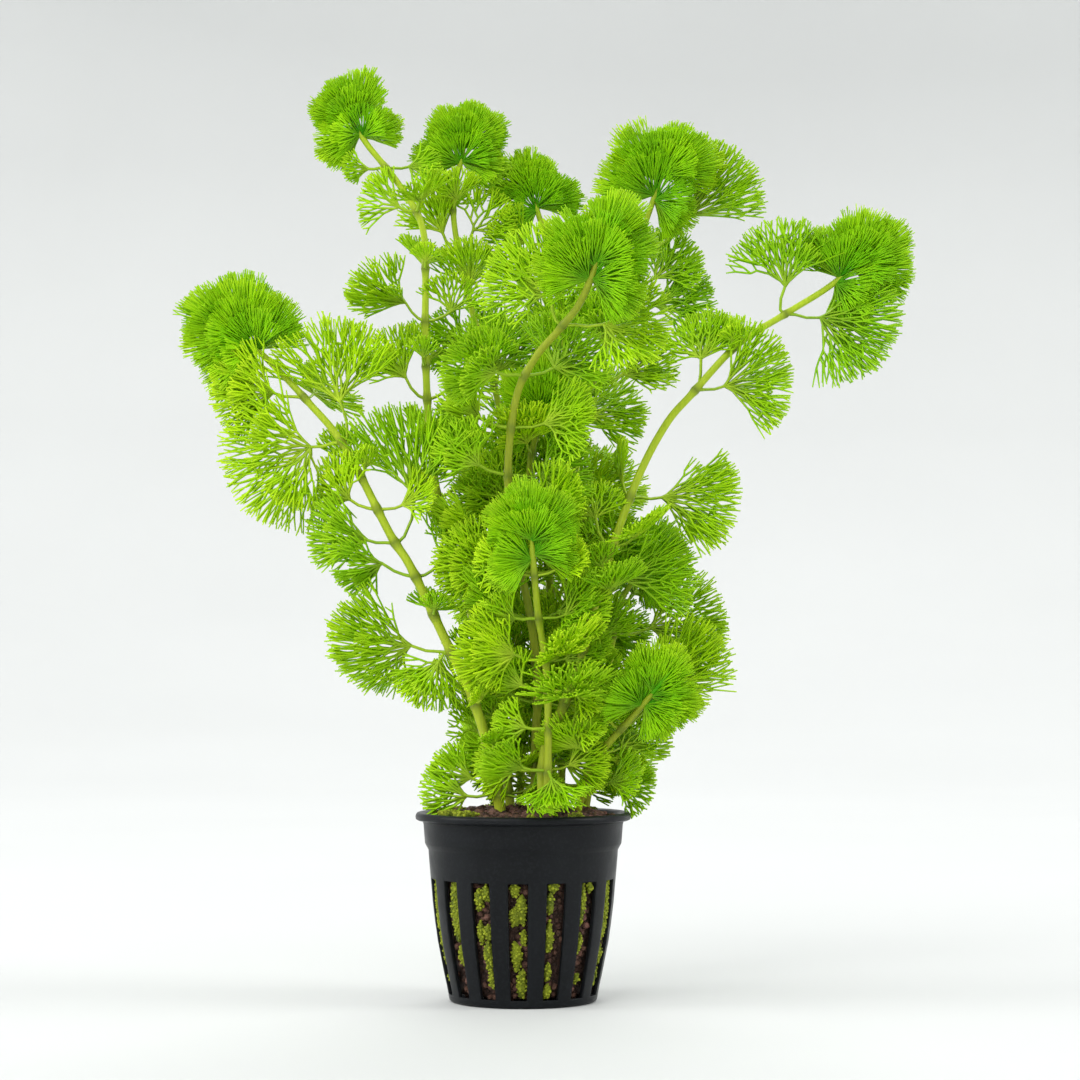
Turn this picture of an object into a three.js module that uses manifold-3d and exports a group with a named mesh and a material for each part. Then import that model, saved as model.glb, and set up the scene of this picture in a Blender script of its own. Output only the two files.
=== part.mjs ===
// A potted cabomba: eleven stems with pairs of fan-shaped leaves and a tuft of young leaves at each
// tip, planted in soil in a slotted plastic net pot. Millimetres, +Z up. The origin is the centre of
// the pot's underside, and -Y is the front.

import * as THREE from "three";
import { mergeVertices } from "three/addons/utils/BufferGeometryUtils.js";
import Module from "manifold-3d";

const wasm = await Module();
wasm.setup();

// ---- driving dimensions ----

const GAP = 0.3; // clearance between pieces that touch
const PAST = 1; // how far a cutter passes beyond what it cuts
const WELD = 1e-4; // corners closer than this are one

const POT = {
  height: 45.5,
  rim_radius: 26.1,
  rim_thickness: 1.9,
  band_radius: 24.2, // under the rim
  step_top: 38.0,
  step_bottom: 36.6,
  step_radius: 23.8,
  waist_radius: 23.0,
  base_radius: 17.9,
  base_chamfer: 1.0,
  wall: 1.0,
  floor: 1.4,
  sides: 30,
  slots: 15,
  slot_angle: 12, // degrees of each opening, out of a pitch of 24
  slot_first: -92.9, // degrees, direction of the front slot
  slot_bottom: 2.0,
  slot_top: 29.7,
  slot_depth: 2.5, // how far a slot reaches in from the radius of the base
  drains: 6,
  drain_width: 2.0,
  drain_inner: 6.0,
  drain_outer: 13.0,
};

// Outer wall below the waist, as [radius, height].
const POT_TAPER = [
  [18.0, 2.0],
  [21.2, 17.0],
  [22.5, 29.7],
];

const SOIL = {
  sides: 15,
  edge_height: 43.4,
  shoulder_radius: 17.0,
  shoulder_rise: 1.4, // above the edge
  crown_radius: 9.0,
  crown_fall: 0.4, // below the crown
  crown_height: 46.2,
  slack: 0.2, // spare room between the soil and the pot besides the clearance
  lump: 0.8, // how far the surface rises and dips
};

const STEM_SIDES = 5;
const STEM_STEP = 18; // length of one straight facet along a stem
const NODE_HEIGHT = 1.8; // swollen ring that carries a pair of leaves
const NODE_WALL = 0.55;
const PETIOLE_WIDTH = 1.1;
const LEAF_THICKNESS = 0.8;
const PETIOLE_FOOT = 0.9; // share of the petiole past which its foot meets the stem
const SMALL_FAN = 12.5; // a fan up to this radius has two lobes, and a larger one three
const FAN_NOTCH = 0.82; // depth of the notches between lobes, as a share of the radius
const LOBE_END = 0.3; // half the blunt end of a lobe, as a share of the lobe's angle
const FAN_CUP = 0.2; // how far the tips curl up, as a share of the radius
const TUFT_LUMP = 0.15; // unevenness of a tuft, as a share of its radius
const TUFT_FLATNESS = 0.4; // how much less a tuft reaches back along its stem

// Weights that turn a place into a whole number, so that every lump is uneven in its own way.
const TUFT_MIX = new THREE.Vector3(5, 23, 71);
const SEED_MIX = 50;
const ANGLE_MIX = 20;
const RADIUS_MIX = 40;

// Route of each stem from inside the soil to its tip, with its radius at the base and at the tip,
// and the radius of the tuft of young leaves around the tip.
const STEMS = {
  a: {
    radius: [1.45, 0.8],
    tuft: 16,
    route: [
      [-4, -8, 38], [-8, -11, 60], [-13, -13, 76], [-17.5, -14, 85], [-26.5, -16, 104],
      [-31.5, -16, 112], [-42.5, -15, 133], [-51.5, -13, 144], [-61, -11, 154], [-68, -9, 160],
    ],
  },
  b: {
    radius: [1.2, 0.8],
    tuft: 12.5,
    route: [
      [-2, -2, 38], [-5.5, 0, 64], [-11, 1, 87], [-16, 2, 105], [-20.5, 3, 120], [-23, 3, 138],
      [-24, 2, 159], [-24, 2, 177], [-25, 2, 189], [-31, 3, 199.5], [-38.5, 4, 209],
      [-42.3, 5, 215.5],
    ],
  },
  c: {
    radius: [1.1, 0.75],
    tuft: 12.5,
    route: [
      [-1, 6, 38], [-0.5, 8, 62], [-1, 9, 82], [-2.5, 10, 102], [-5, 11, 122], [-6, 11, 144],
      [-11, 12, 162], [-15.5, 12, 180], [-17.5, 11, 196], [-14.5, 10, 210],
    ],
  },
  d: {
    radius: [1.15, 0.9],
    tuft: 16,
    route: [
      [2.5, -3, 38], [3, -6, 63], [3.5, -10, 77], [1.5, -14, 94], [-2, -17, 110], [-3.5, -20, 127],
      [-1.5, -24, 144], [3, -28, 153], [8.5, -33, 159], [13.5, -38, 165], [17.5, -43, 174.5],
    ],
  },
  e: {
    radius: [1.1, 0.75],
    tuft: 15,
    route: [
      [6, 6, 38], [7, 8, 62], [7.5, 10, 82], [6.5, 12, 102], [8.5, 13, 123], [12, 13, 136],
      [18.5, 11, 155], [24, 8, 169], [28.5, 4, 185], [34, 0, 201],
    ],
  },
  f: {
    radius: [1.3, 0.8],
    tuft: 14.8,
    route: [
      [4.5, -10, 38], [5, -13, 60], [9.5, -14, 71], [13.5, -15, 81], [17, -15, 95], [22, -15, 111],
      [28, -14, 127], [34.5, -12, 139], [40.5, -11, 146], [51.5, -8, 158], [63.5, -5, 166],
      [73, -3, 172], [81, -2, 178],
    ],
  },
  g: {
    radius: [1.15, 0.8],
    tuft: 12.5,
    route: [
      [11, -3, 38], [16, -8, 56], [20, -12, 62], [27, -18, 70], [31, -22, 75],
    ],
  },
  h: {
    radius: [1.0, 0.75],
    tuft: 11,
    route: [
      [14, 3, 38], [17.5, 2, 60], [20.5, 0, 72], [21.5, 0, 86], [24, 0, 97], [30, -2, 106],
    ],
  },
  i: {
    radius: [1.05, 0.8],
    tuft: 14,
    route: [
      [5.5, -12, 38], [6, -17, 63], [5.5, -20, 80], [3.5, -24, 94], [2, -31, 111],
    ],
  },
  j: {
    radius: [1.05, 0.75],
    tuft: 11.5,
    route: [
      [3, 11, 38], [4.5, 15, 62], [6, 18, 97], [8, 20, 123], [10, 20, 147], [10, 19, 164],
      [7, 18, 182], [2, 16, 199],
    ],
  },
  k: {
    radius: [1.05, 0.8],
    tuft: 13,
    route: [
      [9, 10, 38], [9.5, 8, 72], [7, 4, 97], [4, -2, 116], [1.5, -6, 128], [5, -12, 143],
    ],
  },
};

// The pairs of leaves: the stem, the height of the node, and the two leaves. A leaf is
// [direction, rise, petiole, lift, radius, spread, roll]: the compass direction it grows in
// (degrees from +X), the rise of its petiole above level, the petiole's length, the lift of the
// fan's middle above level, the fan's radius, the angle it spreads over, and its roll about its
// middle, where 0 holds the fan's width level and 90 holds it upright.
const LEAF_PAIRS = [
  ["a", 145, [185, 10, 6, 5, 17, 150, 80], [75, 15, 6, 10, 14, 150, 40]],
  ["a", 134, [180, -10, 6, -25, 25, 190, 80], [-10, 102, 10, 95, 23, 130, 75]],
  ["a", 110, [180, 8, 5, 8, 17, 110, 70], [0, 75, 11, 86, 26, 110, 65]],
  ["a", 102, [180, 27, 7, -15, 13.5, 130, 50], [10, 40, 5, 42, 16, 120, 75]],
  ["a", 84, [180, 12, 8, -6, 22.5, 150, 45], [180, -60, 2.5, -62, 14, 150, 85]],
  ["a", 53, [178, 15, 4, 18, 11.5, 140, 65], [120, 20, 4, 10, 12, 140, 20]],
  ["b", 192, [180, 22, 3, 27, 12, 120, 75], [-80, 20, 5, 20, 11, 140, 20]],
  ["b", 165, [214, 45, 6, 18, 17, 115, 26], [0, 27, 5.5, 80, 10.5, 170, 85]],
  ["b", 146, [180, 55, 6.5, 55, 15, 120, 75], [0, 40, 7, 5, 11.5, 160, 80]],
  ["c", 184, [0, 65, 5.5, 35, 13, 150, 80], [180, 60, 5, 65, 15, 120, 80]],
  ["c", 160, [200, 15, 3, 10, 12, 150, 75], [70, 30, 5, 30, 15, 150, 30]],
  ["d", 92, [-150, 25, 6, 40, 16, 150, 20], [-30, 15, 6, 20, 15, 150, 40]],
  ["e", 180, [0, 45, 16, 43, 23.5, 105, 80], [170, 65, 9, 55, 11, 140, 80]],
  ["e", 166, [0, 25, 9, 12, 17, 140, 75], [100, 20, 6, 20, 16, 150, 30]],
  ["e", 150, [-5, 25, 7, 15, 15.5, 120, 70], [120, 20, 6, 20, 16, 150, 20]],
  ["f", 166, [180, 102, 7, 90, 19, 125, 80], [0, -7, 7, -21, 21.5, 150, 80]],
  ["f", 121, [0, 0, 6, -8, 21, 120, 80], [110, 50, 5, 60, 12, 150, 75]],
  ["f", 97, [-65, 20, 5, 30, 12, 150, 10], [0, 45, 6, 13, 21, 100, 80]],
  ["f", 72, [-85, 15, 7, 15, 16, 150, 10], [-10, 45, 6, 60, 12, 140, 70]],
  ["g", 66, [20, 50, 12, 39, 22, 100, 80], [180, 60, 5, 60, 12, 140, 70]],
  ["h", 88, [5, 15, 8, 5, 21, 150, 80], [100, 20, 6, 15, 15, 150, 20]],
  ["h", 58, [0, 0, 3, -3, 9.5, 140, 60], [90, 10, 6, 5, 15, 150, 10]],
  ["i", 56, [-80, -25, 4, -38, 14, 110, 10], [205, 10, 5, 0, 12, 130, 40]],
  ["j", 142, [30, 20, 6, 20, 18, 150, 60], [140, 20, 6, 20, 18, 150, 50]],
  ["j", 172, [40, 20, 6, 30, 17, 150, 60], [130, 20, 6, 30, 15, 150, 50]],
  ["j", 76, [60, 10, 7, 5, 18, 150, 30], [130, 10, 7, 5, 18, 150, 30]],
];

// ---- materials ----

const material = (color, roughness) => new THREE.MeshStandardMaterial({ color, roughness, metalness: 0 });

// ---- helpers ----

const UP = new THREE.Vector3(0, 0, 1);
const rad = THREE.MathUtils.degToRad;

// A fixed pseudo-random number from 0 to 1 for a whole number.
function scatter(n) {
  const s = Math.sin(n * 12.9898 + 4.1) * 43758.5453;
  return s - Math.floor(s);
}

// Turns a closed three.js geometry into a solid that can be cut and joined.
function solid(geometry) {
  const bare = geometry.clone();
  bare.deleteAttribute("normal");
  bare.deleteAttribute("uv");
  const merged = mergeVertices(bare, WELD);
  const index = merged.index.array;
  const triangles = [];
  for (let i = 0; i < index.length; i += 3) {
    const [p, q, r] = [index[i], index[i + 1], index[i + 2]];
    if (p !== q && q !== r && r !== p) triangles.push(p, q, r);
  }
  return new wasm.Manifold(
    new wasm.Mesh({
      numProp: 3,
      vertProperties: Float32Array.from(merged.attributes.position.array),
      triVerts: Uint32Array.from(triangles),
    }),
  );
}

// The largest body of a cut solid.
function largest(body) {
  return body.decompose().reduce((best, one) => (one.volume() > best.volume() ? one : best));
}

function toMesh(name, body, look) {
  const data = body.getMesh();
  const geometry = new THREE.BufferGeometry();
  geometry.setAttribute("position", new THREE.BufferAttribute(data.vertProperties, 3));
  geometry.setIndex(new THREE.BufferAttribute(data.triVerts, 1));
  geometry.computeVertexNormals();
  const mesh = new THREE.Mesh(geometry, look);
  mesh.name = name;
  return mesh;
}

// A profile of [radius, height] points turned about Z.
function turned(profile, sides, turn = 0) {
  const points = profile.map(([r, z]) => new THREE.Vector2(r, z));
  const geometry = new THREE.LatheGeometry(points, sides);
  geometry.rotateX(Math.PI / 2);
  geometry.rotateZ(turn);
  return geometry;
}

// Whether two solids' boxes come near each other.
function near(a, b) {
  const [p, q] = [a.boundingBox(), b.boundingBox()];
  return [0, 1, 2].every((i) => p.min[i] < q.max[i] && q.min[i] < p.max[i]);
}

// ---- pot ----

function potBody() {
  const { height, wall, floor } = POT;
  const under_rim = height - POT.rim_thickness;
  const outer = [
    [0, 0],
    [POT.base_radius - POT.base_chamfer, 0],
    ...POT_TAPER,
    [POT.waist_radius, POT.step_bottom],
    [POT.step_radius, POT.step_top],
    [POT.band_radius, under_rim],
    [POT.rim_radius, under_rim],
    [POT.rim_radius, height],
  ];
  const inner = [
    [POT.band_radius - wall, height],
    [POT.waist_radius - wall, POT.step_bottom],
    [POT_TAPER[1][0] - wall, POT_TAPER[1][1]],
    [POT.base_radius - wall, floor],
    [0, floor],
  ];
  let body = solid(turned([...outer, ...inner], POT.sides, rad(POT.slot_first - POT.slot_angle / 2)));
  for (let n = 0; n < POT.slots; n++) {
    body = body.subtract(slotCutter(rad(POT.slot_first + (n * 360) / POT.slots)));
  }
  for (let n = 0; n < POT.drains; n++) {
    body = body.subtract(drainCutter(rad((n * 360) / POT.drains)));
  }
  return body;
}

// A wedge that opens one upright slot in the wall.
function slotCutter(direction) {
  const half = rad(POT.slot_angle / 2);
  const [near_radius, far_radius] = [POT.base_radius - POT.slot_depth, POT.rim_radius + PAST];
  const corner = (r, a) => new THREE.Vector2(r * Math.cos(a), r * Math.sin(a));
  const outline = new THREE.Shape([
    corner(near_radius, -half),
    corner(far_radius, -half),
    corner(far_radius, half),
    corner(near_radius, half),
  ]);
  const wedge = new THREE.ExtrudeGeometry(outline, {
    depth: POT.slot_top - POT.slot_bottom,
    bevelEnabled: false,
  });
  wedge.translate(0, 0, POT.slot_bottom);
  wedge.rotateZ(direction);
  return solid(wedge);
}

function drainCutter(direction) {
  const length = POT.drain_outer - POT.drain_inner;
  const box = new THREE.BoxGeometry(length, POT.drain_width, 2 * POT.floor + PAST);
  box.translate(POT.drain_inner + length / 2, 0, 0);
  box.rotateZ(direction);
  return solid(box);
}

// ---- stems ----

const vector = (p) => new THREE.Vector3(...p);
const stemCurve = (stem) => new THREE.CatmullRomCurve3(stem.route.map(vector), false, "catmullrom", 0.5);

// Evenly spaced points along a stem, with its radius at each.
function stations(stem) {
  const curve = stemCurve(stem);
  const steps = Math.round(curve.getLength() / STEM_STEP);
  return curve.getSpacedPoints(steps).map((point, i) => ({
    point,
    radius: THREE.MathUtils.lerp(stem.radius[0], stem.radius[1], i / steps),
  }));
}

// A stem, or the room it takes with extra clearance all round.
function stemBody(stem, extra = 0) {
  const places = stations(stem);
  const corners = Array.from({ length: STEM_SIDES }, (_, n) => (2 * Math.PI * n) / STEM_SIDES);
  const section = new THREE.Shape(corners.map((a) => new THREE.Vector2(Math.cos(a), Math.sin(a))));
  const tube = new THREE.ExtrudeGeometry(section, {
    steps: places.length - 1,
    bevelEnabled: false,
    extrudePath: stemCurve(stem),
  });
  const position = tube.attributes.position;
  const vertex = new THREE.Vector3();
  for (let i = 0; i < position.count; i++) {
    vertex.fromBufferAttribute(position, i);
    const place = places.reduce((a, b) =>
      vertex.distanceToSquared(a.point) < vertex.distanceToSquared(b.point) ? a : b,
    );
    vertex.sub(place.point).multiplyScalar(place.radius + extra).add(place.point);
    position.setXYZ(i, ...vertex);
  }
  return solid(tube);
}

// The centre line of a stem at a height: point, direction and radius there.
function stemAt(stem, height) {
  const places = stations(stem);
  const i = Math.max(1, places.findIndex((place) => place.point.z > height));
  const [low, high] = [places[i - 1], places[i]];
  const t = (height - low.point.z) / (high.point.z - low.point.z);
  return {
    point: low.point.clone().lerp(high.point, t),
    direction: high.point.clone().sub(low.point).normalize(),
    radius: THREE.MathUtils.lerp(low.radius, high.radius, t),
  };
}

// A short straight cylinder centred on a point of a stem and lying along it.
function collar(place, radius, length) {
  const geometry = new THREE.CylinderGeometry(radius, radius, length, STEM_SIDES);
  const turn = new THREE.Quaternion().setFromUnitVectors(THREE.Object3D.DEFAULT_UP, place.direction);
  geometry.applyQuaternion(turn);
  geometry.translate(...place.point);
  return solid(geometry);
}

// ---- leaves ----

// The flat outline of a leaf, with the end of its petiole at the origin and its fan along +X.
function leafOutline(petiole, radius, spread, extra) {
  const half = PETIOLE_WIDTH / 2 + extra;
  const lobes = radius > SMALL_FAN ? 3 : 2;
  const lobe = rad(spread) / lobes;
  const corner = (r, a) => new THREE.Vector2(r * Math.cos(a), r * Math.sin(a));
  const outline = [new THREE.Vector2(-petiole, -half), new THREE.Vector2(0, -half)];
  for (let n = 0; n < lobes; n++) {
    const middle = (n - (lobes - 1) / 2) * lobe;
    if (n > 0) outline.push(corner(FAN_NOTCH * radius + extra, middle - lobe / 2));
    outline.push(corner(radius + extra, middle - LOBE_END * lobe));
    outline.push(corner(radius + extra, middle + LOBE_END * lobe));
  }
  outline.push(new THREE.Vector2(0, half), new THREE.Vector2(-petiole, half));
  return new THREE.Shape(outline);
}

// One leaf: a thin petiole from the stem, then a cupped, lobed fan.
function leafBody(place, leaf, extra) {
  const [direction, rise, petiole, lift, radius, spread, roll] = leaf;
  const level = new THREE.Vector3(Math.cos(rad(direction)), Math.sin(rad(direction)), 0);
  const across = new THREE.Vector3(-level.y, level.x, 0);
  const between = (a, b, angle) =>
    a.clone().multiplyScalar(Math.cos(angle)).addScaledVector(b, Math.sin(angle));
  const middle = between(level, UP, rad(lift));
  const upper = new THREE.Vector3().crossVectors(middle, across);
  const width = between(across, upper, rad(roll));
  const face = new THREE.Vector3().crossVectors(middle, width);
  const start = place.point.clone().addScaledVector(level, place.radius + GAP + NODE_WALL / 2);
  const pivot = start.clone().addScaledVector(between(level, UP, rad(rise)), petiole);

  const thickness = LEAF_THICKNESS + 2 * extra;
  const outline = leafOutline(petiole, radius, spread, extra);
  const plate = new THREE.ExtrudeGeometry(outline, { depth: thickness, bevelEnabled: false });
  const position = plate.attributes.position;
  const vertex = new THREE.Vector3();
  for (let i = 0; i < position.count; i++) {
    const [x, y] = [position.getX(i), position.getY(i)];
    const at_stem = x < -PETIOLE_FOOT * petiole && Math.abs(y) < PETIOLE_WIDTH;
    const depth = position.getZ(i) - thickness / 2;
    if (at_stem) {
      vertex.copy(start).addScaledVector(face, depth);
    } else {
      vertex.copy(pivot).addScaledVector(middle, x).addScaledVector(face, depth + cup(x, y, radius));
    }
    vertex.addScaledVector(width, y);
    position.setXYZ(i, ...vertex);
  }
  return solid(plate);
}

const cup = (x, y, radius) => (FAN_CUP * (x * x + y * y)) / radius;

// A swollen ring around the stem with the two leaves that grow from it.
function pairBody([stem_name, height, ...leaves], extra = 0) {
  const place = stemAt(STEMS[stem_name], height);
  let body = collar(place, place.radius + GAP + NODE_WALL + extra, NODE_HEIGHT + 2 * extra);
  for (const leaf of leaves) {
    body = body.add(leafBody(place, leaf, extra));
  }
  return body;
}

// A dense tuft of young leaves around the tip of a stem: a lumpy dome, flatter below the tip.
function tuftBody(stem, seed, extra = 0) {
  const places = stations(stem);
  const tip = places.at(-1).point;
  const direction = tip.clone().sub(places.at(-2).point).normalize();
  const dome = new THREE.DodecahedronGeometry(1);
  const position = dome.attributes.position;
  const vertex = new THREE.Vector3();
  for (let i = 0; i < position.count; i++) {
    vertex.fromBufferAttribute(position, i);
    const corner = Math.round(vertex.dot(TUFT_MIX)) + seed * SEED_MIX;
    const below = Math.min(0, vertex.dot(direction));
    vertex.addScaledVector(direction, -TUFT_FLATNESS * below);
    vertex.multiplyScalar(stem.tuft * (1 - TUFT_LUMP * scatter(corner)) + extra);
    position.setXYZ(i, ...vertex.add(tip));
  }
  return solid(dome);
}

// ---- soil ----

function soilBody() {
  const inside = POT.wall + GAP + SOIL.slack;
  const geometry = turned(
    [
      [0, POT.floor + GAP],
      [POT.base_radius - inside, POT.floor + GAP],
      [POT_TAPER[1][0] - inside, POT_TAPER[1][1]],
      [POT.waist_radius - inside, POT.step_bottom],
      [POT.band_radius - inside, SOIL.edge_height],
      [SOIL.shoulder_radius, SOIL.edge_height + SOIL.shoulder_rise],
      [SOIL.crown_radius, SOIL.crown_height - SOIL.crown_fall],
      [0, SOIL.crown_height],
    ],
    SOIL.sides,
  );
  const position = geometry.attributes.position;
  const top = SOIL.edge_height + SOIL.shoulder_rise / 2;
  for (let i = 0; i < position.count; i++) {
    const [x, y, z] = [position.getX(i), position.getY(i), position.getZ(i)];
    const out = Math.round(Math.hypot(x, y));
    if (z > top && out > 0) {
      const place = Math.round(Math.atan2(y, x) * ANGLE_MIX) + out * RADIUS_MIX;
      position.setZ(i, z + SOIL.lump * (2 * scatter(place) - 1));
    }
  }
  return solid(geometry);
}

// ---- assembly ----

const cabomba = new THREE.Group();
const leaf_green = 0x86c81e;

cabomba.add(toMesh("pot", potBody(), material(0x2a2e31, 0.45)));

// Stems first, then tufts, then leaf pairs: each piece is cut clear of those placed before it.
const taken = [];
function place(name, body, room, look) {
  let clear = body;
  for (const other of taken) {
    if (near(clear, other)) clear = clear.subtract(other);
  }
  cabomba.add(toMesh(name, largest(clear), look));
  taken.push(room);
}

let soil = soilBody();
for (const [name, stem] of Object.entries(STEMS)) {
  const room = stemBody(stem, GAP);
  soil = soil.subtract(room);
  place(`stem_${name}`, stemBody(stem), room, material(0xa9bd2c, 0.45));
}
cabomba.add(toMesh("soil", soil, material(0x3a2418, 0.95)));
taken.push(soil);

Object.entries(STEMS).forEach(([name, stem], seed) => {
  place(`tip_tuft_${name}`, tuftBody(stem, seed), tuftBody(stem, seed, GAP), material(leaf_green, 0.6));
});
for (const pair of LEAF_PAIRS) {
  place(`leaf_pair_${pair[0]}_${pair[1]}`, pairBody(pair), pairBody(pair, GAP), material(leaf_green, 0.6));
}

export default cabomba;
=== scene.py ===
"""A potted cabomba: slotted net pot, damp soil with moss, stems, divided leaves and tip tufts."""

import math
import random

import bmesh
import bpy
from mathutils import Matrix, Vector, noise


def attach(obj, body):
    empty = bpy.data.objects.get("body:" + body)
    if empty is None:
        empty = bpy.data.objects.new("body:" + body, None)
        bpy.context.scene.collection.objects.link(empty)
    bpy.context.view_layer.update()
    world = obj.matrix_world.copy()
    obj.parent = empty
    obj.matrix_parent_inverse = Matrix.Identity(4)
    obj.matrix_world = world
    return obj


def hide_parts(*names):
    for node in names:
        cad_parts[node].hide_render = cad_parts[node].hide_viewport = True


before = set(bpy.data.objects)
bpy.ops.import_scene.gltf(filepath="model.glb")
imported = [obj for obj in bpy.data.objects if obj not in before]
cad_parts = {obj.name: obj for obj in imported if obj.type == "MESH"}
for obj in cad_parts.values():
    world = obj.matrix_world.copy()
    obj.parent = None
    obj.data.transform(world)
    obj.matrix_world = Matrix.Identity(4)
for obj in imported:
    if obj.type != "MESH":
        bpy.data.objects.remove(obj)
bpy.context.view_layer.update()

bl_info = {
    "name": "Potted cabomba",
    "version": (1, 0, 0),
    "blender": (4, 5, 0),
    "location": "View3D > Sidebar > Cabomba",
    "description": "Builds a cabomba in a slotted net pot, leaf by leaf",
    "category": "Object",
}

MM = 0.001

# ---- the plant's plan, in millimetres ----

# Route of each stem from inside the soil to its tip, its radius at the base and at the tip, and
# the radius of the tuft of young leaves around the tip.
STEMS = {
    "a": {
        "radius": (1.45, 0.8),
        "tuft": 16,
        "route": [
            (-4, -8, 38), (-8, -11, 60), (-13, -13, 76), (-17.5, -14, 85), (-26.5, -16, 104),
            (-31.5, -16, 112), (-42.5, -15, 133), (-51.5, -13, 144), (-61, -11, 154),
            (-68, -9, 160),
        ],
    },
    "b": {
        "radius": (1.2, 0.8),
        "tuft": 12.5,
        "route": [
            (-2, -2, 38), (-5.5, 0, 64), (-11, 1, 87), (-16, 2, 105), (-20.5, 3, 120),
            (-23, 3, 138), (-24, 2, 159), (-24, 2, 177), (-25, 2, 189), (-31, 3, 199.5),
            (-38.5, 4, 209), (-42.3, 5, 215.5),
        ],
    },
    "c": {
        "radius": (1.1, 0.75),
        "tuft": 12.5,
        "route": [
            (-1, 6, 38), (-0.5, 8, 62), (-1, 9, 82), (-2.5, 10, 102), (-5, 11, 122), (-6, 11, 144),
            (-11, 12, 162), (-15.5, 12, 180), (-17.5, 11, 196), (-14.5, 10, 210),
        ],
    },
    "d": {
        "radius": (1.15, 0.9),
        "tuft": 16,
        "route": [
            (2.5, -3, 38), (3, -6, 63), (3.5, -10, 77), (1.5, -14, 94), (-2, -17, 110),
            (-3.5, -20, 127), (-1.5, -24, 144), (3, -28, 153), (8.5, -33, 159), (13.5, -38, 165),
            (17.5, -43, 174.5),
        ],
    },
    "e": {
        "radius": (1.1, 0.75),
        "tuft": 15,
        "route": [
            (6, 6, 38), (7, 8, 62), (7.5, 10, 82), (6.5, 12, 102), (8.5, 13, 123), (12, 13, 136),
            (18.5, 11, 155), (24, 8, 169), (28.5, 4, 185), (34, 0, 201),
        ],
    },
    "f": {
        "radius": (1.3, 0.8),
        "tuft": 14.8,
        "route": [
            (4.5, -10, 38), (5, -13, 60), (9.5, -14, 71), (13.5, -15, 81), (17, -15, 95),
            (22, -15, 111), (28, -14, 127), (34.5, -12, 139), (40.5, -11, 146), (51.5, -8, 158),
            (63.5, -5, 166), (73, -3, 172), (81, -2, 178),
        ],
    },
    "g": {
        "radius": (1.15, 0.8),
        "tuft": 12.5,
        "route": [(11, -3, 38), (16, -8, 56), (20, -12, 62), (27, -18, 70), (31, -22, 75)],
    },
    "h": {
        "radius": (1.0, 0.75),
        "tuft": 11,
        "route": [
            (14, 3, 38), (17.5, 2, 60), (20.5, 0, 72), (21.5, 0, 86), (24, 0, 97), (30, -2, 106),
        ],
    },
    "i": {
        "radius": (1.05, 0.8),
        "tuft": 14,
        "route": [(5.5, -12, 38), (6, -17, 63), (5.5, -20, 80), (3.5, -24, 94), (2, -31, 111)],
    },
    "j": {
        "radius": (1.05, 0.75),
        "tuft": 11.5,
        "route": [
            (3, 11, 38), (4.5, 15, 62), (6, 18, 97), (8, 20, 123), (10, 20, 147), (10, 19, 164),
            (7, 18, 182), (2, 16, 199),
        ],
    },
    "k": {
        "radius": (1.05, 0.8),
        "tuft": 13,
        "route": [
            (9, 10, 38), (9.5, 8, 72), (7, 4, 97), (4, -2, 116), (1.5, -6, 128), (5, -12, 143),
        ],
    },
}

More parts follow.
